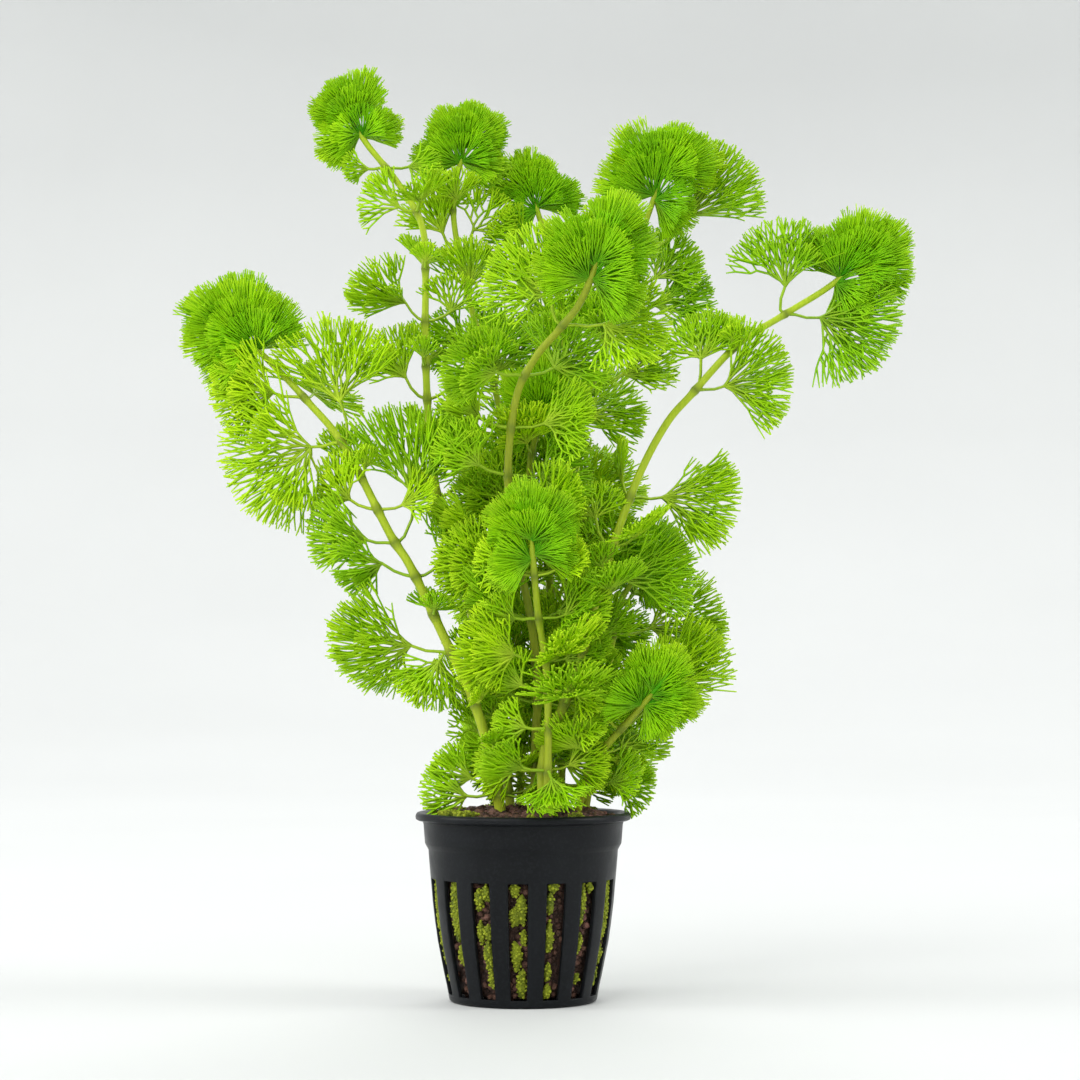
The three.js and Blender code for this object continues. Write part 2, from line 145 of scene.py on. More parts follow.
# The main pairs of leaves: stem, height of the node, and the two leaves. A leaf is (direction,
# rise, petiole, lift, radius, spread, roll): the compass direction it grows in, in degrees from
# +X, the rise of its petiole, the petiole's length, the lift of the fan's middle, the fan's
# radius, the angle it spreads over, and its roll, where 0 holds the fan level and 90 upright.
LEAF_PAIRS = [
    ("a", 145, (185, 10, 6, 5, 17, 150, 80), (75, 15, 6, 10, 14, 150, 40)),
    ("a", 134, (180, -10, 6, -25, 25, 190, 80), (-10, 102, 10, 95, 23, 130, 75)),
    ("a", 110, (180, 8, 5, 8, 17, 110, 70), (0, 75, 11, 86, 26, 110, 65)),
    ("a", 102, (180, 27, 7, -15, 13.5, 130, 50), (10, 40, 5, 42, 16, 120, 75)),
    ("a", 84, (180, 12, 8, -6, 22.5, 150, 45), (180, -60, 2.5, -62, 14, 150, 85)),
    ("a", 53, (178, 15, 4, 18, 11.5, 140, 65), (120, 20, 4, 10, 12, 140, 20)),
    ("b", 203, (180, -5, 3, 0, 7.5, 120, 50), (0, 5, 4, -10, 9, 140, 70)),
    ("b", 192, (180, 22, 3, 27, 12, 120, 75), (-80, 20, 5, 20, 11, 140, 20)),
    ("b", 165, (214, 45, 6, 18, 17, 115, 26), (0, 27, 5.5, 80, 10.5, 170, 85)),
    ("b", 146, (180, 55, 6.5, 55, 15, 120, 75), (0, 40, 7, 5, 11.5, 160, 80)),
    ("b", 122, (15, 45, 6, 40, 14, 120, 75), (110, 20, 5, 15, 14, 140, 40)),
    ("c", 184, (0, 65, 5.5, 35, 13, 150, 80), (180, 60, 5, 65, 15, 120, 80)),
    ("c", 160, (200, 15, 3, 10, 12, 150, 75), (70, 30, 5, 30, 15, 150, 30)),
    ("c", 138, (178, 15, 4, 5, 14, 150, 75), (60, 20, 6, 20, 16, 150, 20)),
    ("c", 96, (175, 20, 5, 10, 13.5, 150, 75), (100, 10, 7, 10, 18, 160, 20)),
    ("d", 160, (180, 80, 7, 50, 20, 160, 80), (-10, 0, 8, -20, 18, 150, 60)),
    ("d", 92, (-150, 25, 6, 40, 16, 150, 20), (-30, 15, 6, 20, 15, 150, 40)),
    ("e", 180, (0, 45, 16, 43, 23.5, 105, 80), (170, 65, 9, 55, 11, 140, 80)),
    ("e", 166, (0, 25, 9, 12, 17, 140, 75), (100, 20, 6, 20, 16, 150, 30)),
    ("e", 150, (-5, 25, 7, 15, 15.5, 120, 70), (120, 20, 6, 20, 16, 150, 20)),
    ("f", 166, (180, 102, 7, 90, 19, 125, 80), (0, -7, 7, -21, 21.5, 150, 80)),
    ("f", 147, (60, 80, 8, 70, 14, 180, 0), (0, 10, 5.5, 13, 19, 130, 80)),
    ("f", 121, (0, 0, 6, -8, 21, 120, 80), (110, 50, 5, 60, 12, 150, 75)),
    ("f", 109, (180, 72, 7.5, 80, 10, 180, 85), (-50, 20, 6, 20, 13, 150, 20)),
    ("f", 97, (-65, 20, 5, 30, 12, 150, 10), (0, 45, 6, 13, 21, 100, 80)),
    ("f", 72, (-85, 15, 7, 15, 16, 150, 10), (-10, 45, 6, 60, 12, 140, 70)),
    ("g", 66, (20, 50, 12, 39, 22, 100, 80), (180, 60, 5, 60, 12, 140, 70)),
    ("h", 88, (5, 15, 8, 5, 21, 150, 80), (100, 20, 6, 15, 15, 150, 20)),
    ("h", 58, (0, 0, 3, -3, 9.5, 140, 60), (90, 10, 6, 5, 15, 150, 10)),
    ("i", 82, (190, 15, 6, 5, 17, 150, 70), (-60, 15, 5, 20, 15, 150, 20)),
    ("i", 56, (-80, -25, 4, -38, 14, 110, 10), (205, 10, 5, 0, 12, 130, 40)),
    ("j", 142, (30, 20, 6, 20, 18, 150, 60), (140, 20, 6, 20, 18, 150, 50)),
    ("j", 172, (40, 20, 6, 30, 17, 150, 60), (130, 20, 6, 30, 15, 150, 50)),
    ("j", 76, (60, 10, 7, 5, 18, 150, 30), (130, 10, 7, 5, 18, 150, 30)),
]

# Pairs deep in the bush, which have no solid of their own.
INNER_PAIRS = (
    ("b", 122), ("b", 203), ("c", 96), ("c", 138), ("d", 160), ("f", 109), ("f", 147), ("i", 82),
)

# The smaller pairs that fill the bush: for each stem, the height of the node, the compass
# direction of one leaf (its partner grows the other way) and the radius of each blade.
SMALL_PAIRS = {
    "a": [
        (50, 172, 13, 11), (61, 110, 12, 6), (72, 115, 12, 6), (93, 95, 8, 5),
        (118, 165, 14, 11), (126, 110, 13, 6),
    ],
    "b": [
        (54, 120, 12, 10), (66, 80, 14, 9), (78, 100, 14, 8), (97, 100, 11, 7),
        (109, 75, 14, 7), (134, 95, 12, 6), (154, 80, 11, 6), (178, 95, 10, 5), (50, 140, 11, 9),
    ],
    "c": [
        (56, 150, 16, 15), (68, 100, 15, 14), (82, 80, 16, 15), (108, 100, 16, 15),
        (118, 70, 16, 14), (128, 110, 16, 15), (150, 80, 15, 15), (172, 95, 13, 12),
        (194, 100, 10, 9),
    ],
    "d": [
        (58, 175, 13, 13), (72, 10, 15, 14), (82, 160, 14, 14), (103, 10, 16, 15),
        (114, 165, 15, 15), (126, 15, 15, 14), (137, 170, 15, 15), (149, 30, 16, 15),
    ],
    "e": [
        (58, 10, 16, 15), (70, 60, 15, 14), (84, 100, 16, 15), (98, 50, 17, 15),
        (112, 90, 18, 15), (126, 60, 15, 15), (140, 100, 14, 13), (158, 90, 15, 14),
        (174, 15, 15, 13), (51, 15, 12, 12),
    ],
    "f": [(56, 0, 11, 11), (84, 60, 14, 7), (103, 80, 13, 7), (157, 95, 10, 5)],
    "g": [(52, -20, 11, 10), (60, 40, 14, 12)],
    "h": [(52, 0, 11, 11), (64, 60, 15, 13), (78, 20, 17, 14), (96, 60, 15, 13)],
    "i": [(66, 5, 10, 9), (75, 175, 11, 10), (92, 10, 12, 10), (102, 170, 11, 10)],
    "j": [
        (54, 40, 17, 17), (66, 120, 17, 15), (90, 30, 17, 16), (108, 100, 18, 17),
        (124, 20, 17, 16), (157, 100, 16, 15), (186, 30, 12, 12),
    ],
    "k": [
        (57, 20, 17, 16), (74, 80, 16, 15), (90, 10, 17, 16), (104, 90, 16, 15),
        (118, 0, 17, 16), (132, 80, 15, 14),
    ],
}

# Outer profile of the pot from the underside up to the lip, as (radius, height).
POT_PROFILE = [
    (17.0, 0.0), (17.5, 0.15), (17.85, 0.6), (18.0, 1.3), (18.1, 2.0), (18.5, 4.0), (18.95, 6.0),
    (19.4, 8.2), (19.85, 10.5), (20.25, 12.5), (20.65, 14.5), (21.0, 17.0), (21.3, 19.0),
    (21.6, 21.5), (21.9, 24.0), (22.15, 27.0), (22.4, 29.7), (22.6, 32.0), (22.8, 34.4),
    (22.95, 36.5), (23.1, 36.75), (23.65, 37.75), (23.8, 38.1), (23.95, 40.0), (24.15, 42.6),
    (24.35, 43.25), (24.9, 43.55), (25.6, 43.6), (26.0, 43.85), (26.1, 44.4), (26.0, 44.95),
    (25.7, 45.35), (25.2, 45.5),
]
SLOT_BOTTOM = 2.0
SLOT_TOP = 29.7
SLOT_PITCH = 24.0
SLOT_ANGLE = 12.3
FIRST_SLOT = -92.9  # the slot nearest the front, in degrees from +X

# Patches of moss behind the slots: slot counted from the front one, left and right edge across
# the slot from -1 to 1, bottom and top.
MOSS_PATCHES = [
    (-3, -0.9, 0.7, 9, 31), (-2, -0.55, 1.0, 15.5, 30.5), (-2, -0.1, 0.9, 9.5, 14.5),
    (-1, 0.05, 1.0, 25.5, 29.5), (-1, -1.0, 0.0, 23, 28.5), (-1, 0.1, 1.0, 16, 20),
    (-1, -0.9, -0.05, 15, 21), (-1, -0.2, 1.0, 9, 16.5), (-1, 0.2, 1.0, 4.5, 9),
    (0, -1.0, 0.1, 26.5, 30), (0, -0.1, 1.0, 20, 27.5), (0, -1.0, 0.2, 19.5, 24.5),
    (0, -0.9, 0.3, 9, 16.5), (0, -0.2, 1.0, 2.5, 9.5), (0, 0.3, 1.0, 15, 19),
    (1, -0.9, 0.4, 27.5, 30), (1, -1.0, -0.15, 22.5, 27.8), (1, -1.0, -0.1, 13.5, 21),
    (1, -0.9, -0.1, 6.5, 11), (1, -0.95, 0.15, 2.3, 6), (2, -1.0, -0.15, 19.5, 30),
    (2, 0.35, 1.0, 27, 30), (2, -0.9, -0.2, 13, 18), (2, -0.5, 0.3, 5.5, 8.2),
    (3, -0.9, 0.6, 23, 31), (3, -0.9, 0.5, 15, 22.5), (3, -0.8, 0.6, 8.5, 15), (3, -0.9, 0.6, 4, 9),
]

# Cushions of moss on the soil by the rim: centre and size.
RIM_MOSS = [
    (-17.5, -10.5, 45.4, 2.9), (-13.5, -15, 45.4, 3.2), (-20, -4, 45.2, 1.8),
    (12.5, -16.5, 45.2, 1.9), (16, 8, 45.3, 2.4), (-8, 17, 45.4, 2.4), (2, -20, 44.8, 1.5),
    (-16, 12, 45.2, 2.0),
]


# ---- settings a user would change ----


def millimetres(name, text, size, low, high):
    """A length in the sidebar, stored in metres."""
    return bpy.props.FloatProperty(
        name=name,
        description=text,
        default=size * MM,
        min=low * MM,
        max=high * MM,
        precision=5,
        unit="LENGTH",
        subtype="DISTANCE",
    )


def finish_colour(name, text, value):
    """A colour in the sidebar, in linear light."""
    return bpy.props.FloatVectorProperty(
        name=name, description=text, default=value, min=0.0, max=1.0, size=3, subtype="COLOR"
    )


def fraction(name, text, value, low, high):
    """A share in the sidebar."""
    return bpy.props.FloatProperty(
        name=name, description=text, default=value, min=low, max=high, subtype="FACTOR"
    )


def whole(name, text, value, low=0, high=1000):
    """A whole number in the sidebar."""
    return bpy.props.IntProperty(name=name, description=text, default=value, min=low, max=high)


def power(name, text, value):
    """A light's power in the sidebar."""
    return bpy.props.FloatProperty(
        name=name, description=text, default=value, min=0.0, unit="POWER"
    )


class CabombaPotSettings(bpy.types.PropertyGroup):
    """Sizes and colour of the net pot."""

    wall: millimetres("Wall", "Thickness of the pot's wall", 1.0, 0.6, 2.0)
    floor: millimetres("Floor", "Thickness of the pot's floor", 1.4, 0.8, 3.0)
    edge: millimetres("Edge radius", "Rounding of the moulded edges", 0.16, 0.02, 0.4)
    slots: whole("Slots", "Upright slots round the pot", 15, 3, 30)
    plastic: finish_colour("Plastic", "Colour of the moulded plastic", (0.0072, 0.0082, 0.0095))


class CabombaSoilSettings(bpy.types.PropertyGroup):
    """Sizes and colours of the soil and its moss."""

    crown: millimetres("Crown", "Height of the soil in the middle of the pot", 47.0, 40.0, 48.0)
    edge: millimetres("Edge", "Height of the soil at the pot's wall", 45.2, 38.0, 46.0)
    chunk: millimetres("Chunk", "Radius of the coarse lumps on top", 1.6, 0.8, 3.0)
    grain: millimetres("Grain", "Radius of the fine lumps behind the slots", 0.85, 0.3, 1.5)
    sprig: millimetres("Sprig", "Radius of the sprigs of moss", 0.34, 0.2, 1.0)
    seed: whole("Seed", "Scatter of the grains", 4)
    earth: finish_colour("Earth", "Colour of the damp soil", (0.095, 0.048, 0.032))
    clay: finish_colour("Clay", "Colour of the redder grains", (0.25, 0.12, 0.095))
    moss: finish_colour("Moss", "Colour of the moss", (0.25, 0.30, 0.010))


class CabombaStemSettings(bpy.types.PropertyGroup):
    """Shape and colours of the stems."""

    fullness: fraction(
        "Fullness", "Thickness of the stems, as a share of the plan's", 0.93, 0.5, 1.2
    )
    sides: whole("Sides", "Faces round a stem", 12, 6, 24)
    step: millimetres("Step", "Length of the rings that a stem is made of", 1.2, 0.5, 4.0)
    swelling: fraction("Swelling", "How much thicker a stem is at its nodes", 0.3, 0.0, 1.0)
    young: finish_colour("Young stem", "Colour of a stem near its tip", (0.44, 0.60, 0.02))
    old: finish_colour("Old stem", "Colour of a stem near the soil", (0.46, 0.55, 0.03))
    ring: finish_colour("Node", "Colour of the rings at the nodes", (0.16, 0.22, 0.015))


class CabombaLeafSettings(bpy.types.PropertyGroup):
    """Shape and colours of the divided leaves."""

    rib: millimetres("Rib", "Radius of a leaf's main ribs", 0.42, 0.1, 0.8)
    strand: millimetres("Strand", "Radius of the outer strands", 0.28, 0.08, 0.5)
    tip: millimetres("Tip", "Radius at the strands' ends", 0.19, 0.03, 0.4)
    gap: millimetres("Gap", "Distance between strands along a fan's rim", 0.375, 0.2, 3.0)
    layered: millimetres("Layered", "Reach from which a leaf has a second layer", 13.2, 5.0, 40.0)
    cup: fraction("Cup", "How far a fan's edge curls up, as a share of its radius", 0.2, 0.0, 0.6)
    fineness: fraction(
        "Fineness", "Thickness and spacing of young strands, as a share of grown ones", 0.74, 0.3, 1
    )
    seed: whole("Seed", "Growth of the leaves", 11)
    ribs: finish_colour("Rib green", "Colour of the leaf stalks and main ribs", (0.34, 0.54, 0.03))
    fresh: finish_colour("Blade green", "Colour of a grown blade", (0.31, 0.63, 0.002))
    pale: finish_colour("Tip green", "Colour of the strands' ends", (0.47, 0.76, 0.02))
    # Painted shade: a darker green for the feet of the young leaves in a tuft's heart, standing in
    # for the shade among the crowded leaves.
    heart_shade: finish_colour("Heart green", "Colour in the heart of a tuft", (0.07, 0.36, 0.002))
    young: finish_colour("Young green", "Colour of the young leaves", (0.26, 0.64, 0.002))


class CabombaStageSettings(bpy.types.PropertyGroup):
    """Floor, lights and camera."""

    floor: finish_colour("Floor", "Colour of the floor", (0.62, 0.63, 0.62))
    key: power("Key light", "Power of the main light", 25.0)
    side: power("Side lights", "Power of each side light", 16.0)
    lens: bpy.props.FloatProperty(
        name="Lens", description="Focal length in millimetres", default=96.0, min=20.0, max=300.0
    )


# ---- node tools ----


def socket_id(tree, name):
    """Identifier of a tree's input."""
    return next(
        item.identifier
        for item in tree.interface.items_tree
        if item.item_type == "SOCKET" and item.in_out == "INPUT" and item.name == name
    )


def feed(tree, node, inputs):
    """Fills a node's inputs, each with a value, a socket, or a node's first output in use."""
    for name, value in inputs.items():
        if isinstance(value, bpy.types.Node):
            value = next(socket for socket in value.outputs if socket.enabled)
        if isinstance(value, bpy.types.NodeSocket):
            tree.links.new(value, node.inputs[name])
        else:
            node.inputs[name].default_value = value
    return node


def tree_node(tree, kind, x=0, y=0, inputs=None, **settings):
    """A node at a place on the sheet, with its settings and what its inputs get."""
    node = tree.nodes.new(kind)
    node.location = (x, y)
    for name, value in settings.items():
        setattr(node, name, value)
    return feed(tree, node, inputs or {})


def product(tree, x, y, first, second):
    """The product of two values."""
    return tree_node(tree, "ShaderNodeMath", x, y, {0: first, 1: second}, operation="MULTIPLY")


def shared_group(name, output, build, inputs):
    """A shader node group with one output, built once. An input of None is a place in space."""
    tree = bpy.data.node_groups.get(name)
    if tree is None:
        tree = bpy.data.node_groups.new(name, "ShaderNodeTree")
        face = tree.interface
        for label, value in inputs.items():
            kind = {type(None): "Vector", tuple: "Color"}.get(type(value), "Float")
            socket = face.new_socket(label, in_out="INPUT", socket_type="NodeSocket" + kind)
            if value is not None:
                socket.default_value = value
        kind = "Color" if output == "Color" else "Float"
        face.new_socket(output, in_out="OUTPUT", socket_type="NodeSocket" + kind)
        given = tree_node(tree, "NodeGroupInput", -900).outputs
        tree_node(tree, "NodeGroupOutput", 700, 0, {output: build(tree, given)})
    return tree


def mottle_group():
    """Soft uneven patches, from Low to High."""

    def build(tree, given):
        sizes = {name: given[name] for name in ("Vector", "Scale", "Detail")}
        patches = tree_node(tree, "ShaderNodeTexNoise", -600, 0, sizes)
        limits = {"To Min": given["Low"], "To Max": given["High"], "From Min": 0.3, "From Max": 0.7}
        return tree_node(tree, "ShaderNodeMapRange", -200, 0, {"Value": patches, **limits})

    inputs = {"Vector": None, "Scale": 500.0, "Detail": 3.0, "Low": 0.0, "High": 1.0}
    return shared_group("Mottle", "Value", build, inputs)


def grain_group():
    """Fine relief of two sizes, as a height."""

    def build(tree, given):
        vector, scale = given["Vector"], given["Scale"]
        coarse = tree_node(
            tree, "ShaderNodeTexNoise", -600, 200, {"Vector": vector, "Scale": scale}
        )
        finer = product(tree, -750, -200, scale, 2.7)
        fine = tree_node(
            tree, "ShaderNodeTexVoronoi", -600, -200, {"Vector": vector, "Scale": finer}
        )
        heights = {"Factor": given["Fineness"], "A": coarse, "B": fine}
        return tree_node(tree, "ShaderNodeMix", -200, 0, heights, data_type="FLOAT")

    inputs = {"Vector": None, "Scale": 900.0, "Fineness": 0.5}
    return shared_group("Fine relief", "Height", build, inputs)


def growth_group():
    """Green of a strand by its place in the leaf, its leaf's age and a shift from leaf to leaf,
    with painted shade on the feet of young leaves.
    """

    def build(tree, given):
        reach, age, tint = (
            tree_node(tree, "ShaderNodeAttribute", -600, y, attribute_name=name).outputs["Fac"]
            for name, y in (("reach", 300), ("youth", 0), ("tint", -300))
        )

        def spread(value, y, low, high, first=0.0, last=1.0, kind="LINEAR"):
            limits = {"From Min": low, "From Max": high, "To Min": first, "To Max": last}
            return tree_node(
                tree,
                "ShaderNodeMapRange",
                -350,
                y,
                {"Value": value, **limits},
                interpolation_type=kind,
            )

        def mixed(x, y, factor, first, second):
            inputs = {"Factor": factor, "A": first, "B": second}
            return tree_node(tree, "ShaderNodeMix", x, y, inputs, data_type="RGBA")

        inner = spread(reach, 300, 0.05, 0.6, kind="SMOOTHSTEP")
        outer = spread(reach, 50, 0.6, 1.05, kind="SMOOTHSTEP")
        grown = spread(age, 550, 0.5, 1.0, 1.0, 0.15)
        # The feet of young leaves turn from the rib colour to the heart colour: painted shade for
        # the inside of a crowded tuft.
        foot = mixed(-100, 600, age, given["Rib"], given["Heart"])
        blade = mixed(-100, 400, age, given["Blade"], given["Young"])
        body = mixed(50, 300, inner, foot, blade)
        strand = mixed(200, 200, product(tree, -100, 50, outer, grown), body, given["Tip"])
        hue = spread(tint, -200, 0.0, 1.0, 0.482, 0.512)
        light = spread(tint, -450, 0.0, 1.0, 1.12, 0.82)
        inputs = {"Color": strand, "Hue": hue, "Value": light}
        return tree_node(tree, "ShaderNodeHueSaturation", 400, 100, inputs)

    labels = ("Rib", "Blade", "Tip", "Heart", "Young")
    green = (0.3, 0.6, 0.01, 1.0)
    return shared_group("Green of a strand", "Color", build, {label: green for label in labels})


class Finish:
    """A material under construction: Principled shader, object coordinates and helpers."""

    def __init__(self, name, values):
        self.material = bpy.data.materials.new(name)
        self.material.use_nodes = True
        self.tree = self.material.node_tree
        self.shader = feed(self.tree, self.tree.nodes["Principled BSDF"], values)
        self.place = tree_node(self.tree, "ShaderNodeTexCoord", -1400).outputs["Object"]

    def node(self, kind, x=0, y=0, inputs=None, **settings):
        return tree_node(self.tree, kind, x, y, inputs, **settings)

    def attribute(self, name, y=300):
        """A value that the piece carries at each of its points."""
        return self.node("ShaderNodeAttribute", -1200, y, attribute_name=name).outputs["Fac"]

    def patches(self, y=0, **inputs):
        """Soft uneven patches over the piece."""
        inputs = {"Vector": self.place, **inputs}
        return self.node("ShaderNodeGroup", -900, y, inputs, node_tree=mottle_group())

    def stretched(self, scale):
        """Object coordinates stretched along the axes."""
        return self.node("ShaderNodeMapping", -1200, 0, {"Vector": self.place, "Scale": scale})

    def blend(self, factor, first, second, x=-200, y=0, kind="MIX"):
        """Colour between two, each a colour or a node's output."""

        def colour(value):
            made = isinstance(value, (bpy.types.Node, bpy.types.NodeSocket))
            return value if made else colour4(value)

        inputs = {"Factor": factor, "A": colour(first), "B": colour(second)}
        return self.node("ShaderNodeMix", x, y, inputs, data_type="RGBA", blend_type=kind)

    def cover(self, base, gloss=None):
        """Gives the shader its colour and, as (scale, low, high), a roughness that varies."""
        feed(self.tree, self.shader, {"Base Color": base})
        if gloss:
            scale, low, high = gloss
            rough = self.patches(-250, Scale=scale, Low=low, High=high)
            feed(self.tree, self.shader, {"Roughness": rough})

    def bump(self, height, strength, distance):
        """Bumps the surface by a height."""
        inputs = {"Height": height, "Strength": strength, "Distance": distance}
        bump = self.node("ShaderNodeBump", -200, -500, inputs)
        feed(self.tree, self.shader, {"Normal": bump})

    def relief(self, scale, fineness, strength, distance):
        """Bumps the surface by a fine grain."""
        inputs = {"Vector": self.place, "Scale": scale, "Fineness": fineness}
        grain = self.node("ShaderNodeGroup", -900, -500, inputs, node_tree=grain_group())
        self.bump(grain, strength, distance)


def colour4(value):
    return (*value, 1.0)


# ---- materials ----


def plastic_finish(settings):
    """Satin moulded plastic: faint flow marks, fine texture and a few paler scuffs."""
    finish = Finish("Pot plastic", {"IOR": 1.5, "Specular IOR Level": 0.12})
    flow = finish.patches(300, Vector=finish.stretched((1, 1, 0.25)), Scale=90.0)
    dust = finish.patches(0, Scale=1400.0, Detail=4.0, Low=-1.6, High=1.2)
    held = finish.node("ShaderNodeClamp", -450, 0, {"Value": dust, "Max": 0.35})
    base = Vector(settings.plastic)
    toned = finish.blend(flow, base * 0.82, base * 1.2)
    finish.cover(finish.blend(held, toned, base * 1.9, 0, 200), (220.0, 0.3, 0.42))
    finish.relief(1600.0, 0.35, 0.12, 0.2 * MM)
    return finish.material


def soil_finish(settings):
    """Damp soil: brown grains, some redder, some nearly black, with a wet gleam on the tops."""
    finish = Finish("Damp soil", {"IOR": 1.4})
    earth, clay = Vector(settings.earth), Vector(settings.clay)
    ramp = finish.node("ShaderNodeValToRGB", -900, 300, {"Fac": finish.attribute("tint")})
    stops = ramp.color_ramp.elements
    stops[0].color, stops[1].color = colour4(earth * 0.4), colour4(clay)
    stops.new(0.45).color = colour4(earth)
    stops.new(0.85).color = colour4(earth * 1.7)
    patch = finish.patches(0, Scale=900.0, Detail=5.0)
    dark = finish.blend(patch, (0.35, 0.33, 0.32), (1.25, 1.2, 1.2), -500, 0)
    shade = finish.blend(1.0, ramp, dark, -250, 200, "MULTIPLY")
    finish.cover(shade, (500.0, 0.42, 0.85))
    finish.relief(1500.0, 0.6, 0.9, 0.4 * MM)
    return finish.material


def moss_finish(settings):
    """Soft moss: olive green in its depths, yellower on the sprigs' tips."""
    finish = Finish("Moss", {"Roughness": 0.7, "Specular IOR Level": 0.3})
    moss = Vector(settings.moss)
    olive = moss * Vector((0.3, 0.36, 0.6))
    pale = moss * Vector((1.5, 1.45, 2.2))
    toned = finish.blend(finish.patches(0, Scale=330.0, Detail=5.0), olive, moss, -500, 0)
    finish.cover(finish.blend(finish.attribute("tint"), toned, pale, -250, 200))
    finish.relief(2600.0, 0.7, 0.8, 0.3 * MM)
    return finish.material


def stem_finish(settings):
    """Stems: waxy yellow-green with fine lengthwise streaks, olive at the nodes."""
    finish = Finish("Stem", {"IOR": 1.42, "Specular IOR Level": 0.3})
    white = (1.0, 1.0, 1.0)
    aged = finish.blend(finish.attribute("reach", 500), settings.old, settings.young, -900, 500)
    brown = finish.blend(finish.attribute("tint", 100), aged, (0.21, 0.19, 0.02), -700, 400)
    streaks = finish.patches(0, Vector=finish.stretched((1, 1, 0.08)), Scale=1600.0)
    veined = finish.blend(streaks, Vector(settings.ring) * 1.8, white, -700, 0)
    soft = finish.blend(0.3, white, veined, -500, 0)
    toned = finish.blend(1.0, brown, soft, -300, 300, "MULTIPLY")
    ringed = finish.blend(finish.attribute("ring"), toned, settings.ring, -100, 300)
    finish.cover(ringed, (600.0, 0.28, 0.48))
    finish.bump(streaks, 0.25, 0.2 * MM)
    return finish.material


def leaf_finish(settings):
    """Leaf strands: lime ribs and blades with pale tips, and painted shade as a darker green in the
    tufts' hearts.
    """
    finish = Finish("Leaf", {"Specular IOR Level": 0.18, "IOR": 1.4})
    greens = {
        "Rib": colour4(settings.ribs),
        "Blade": colour4(settings.fresh),
        "Tip": colour4(settings.pale),
        # Painted shade for the tufts' hearts.
        "Heart": colour4(settings.heart_shade),
        "Young": colour4(settings.young),
    }
    growth = finish.node("ShaderNodeGroup", -600, 300, greens, node_tree=growth_group())
    patch = finish.patches(0, Scale=260.0, Detail=2.0)
    cloud = finish.blend(patch, (0.8, 0.86, 0.8), (1.15, 1.1, 1.0), -500, 0)
    toned = finish.blend(1.0, growth, cloud, -250, 200, "MULTIPLY")
    finish.cover(toned, (900.0, 0.38, 0.56))
    return finish.material


def floor_finish(settings):
    """Plain pale studio floor."""
    finish = Finish("Studio floor", {"Roughness": 0.8, "Specular IOR Level": 0.2})
    base = Vector(settings.floor)
    finish.cover(finish.blend(finish.patches(0, Scale=3.0), base * 0.985, base * 1.015))
    return finish.material


# ---- geometry node trees ----

MADE = {}  # node trees and materials that several pieces use


def shared(name, make):
    """One of those, made the first time it is asked for."""
    if name not in MADE:
        MADE[name] = make()
    return MADE[name]


def geometry_tree(name, inputs):
    """An empty geometry tree with a surface, a finish and other named inputs."""
    tree = bpy.data.node_groups.new(name, "GeometryNodeTree")
    for label, kind in {"Geometry": "Geometry", **inputs, "Finish": "Material"}.items():
        tree.interface.new_socket(label, in_out="INPUT", socket_type="NodeSocket" + kind)
    tree.interface.new_socket("Geometry", in_out="OUTPUT", socket_type="NodeSocketGeometry")
    return tree, tree_node(tree, "NodeGroupInput", -1500).outputs


def finished_tree(tree, given, made, x):
    """Shades what a tree has made smooth, gives it its finish and hands it out."""
    smooth = tree_node(tree, "GeometryNodeSetShadeSmooth", x, 100, {"Geometry": made})
    inputs = {"Geometry": smooth, "Material": given["Finish"]}
    coat = tree_node(tree, "GeometryNodeSetMaterial", x + 200, 100, inputs)
    tree_node(tree, "NodeGroupOutput", x + 400, 100, {"Geometry": coat})
    return tree


def point_value(tree, name, x, y):
    """A value that the mesh carries at each of its points."""
    return tree_node(
        tree, "GeometryNodeInputNamedAttribute", x, y, {"Name": name}, data_type="FLOAT"
    )


def strands_tree():
    """Turns lines of points into round closed tubes, as thick as their girth says."""
    tree, given = geometry_tree("Grown strands", {"Sides": "Int", "Thickness": "Float"})
    lines = tree_node(tree, "GeometryNodeMeshToCurve", -650, 200, {"Mesh": given["Geometry"]})
    scale = product(tree, -400, -100, point_value(tree, "girth", -650, -100), given["Thickness"])
    ring = {"Resolution": given["Sides"], "Radius": 1.0}
    ring = tree_node(tree, "GeometryNodeCurvePrimitiveCircle", -400, -300, ring)
    tube = {"Curve": lines, "Profile Curve": ring, "Scale": scale, "Fill Caps": True}
    tube = tree_node(tree, "GeometryNodeCurveToMesh", -150, 100, tube)
    real = tree_node(tree, "GeometryNodeRealizeInstances", 50, 100, {"Geometry": tube})
    return finished_tree(tree, given, real, 250)


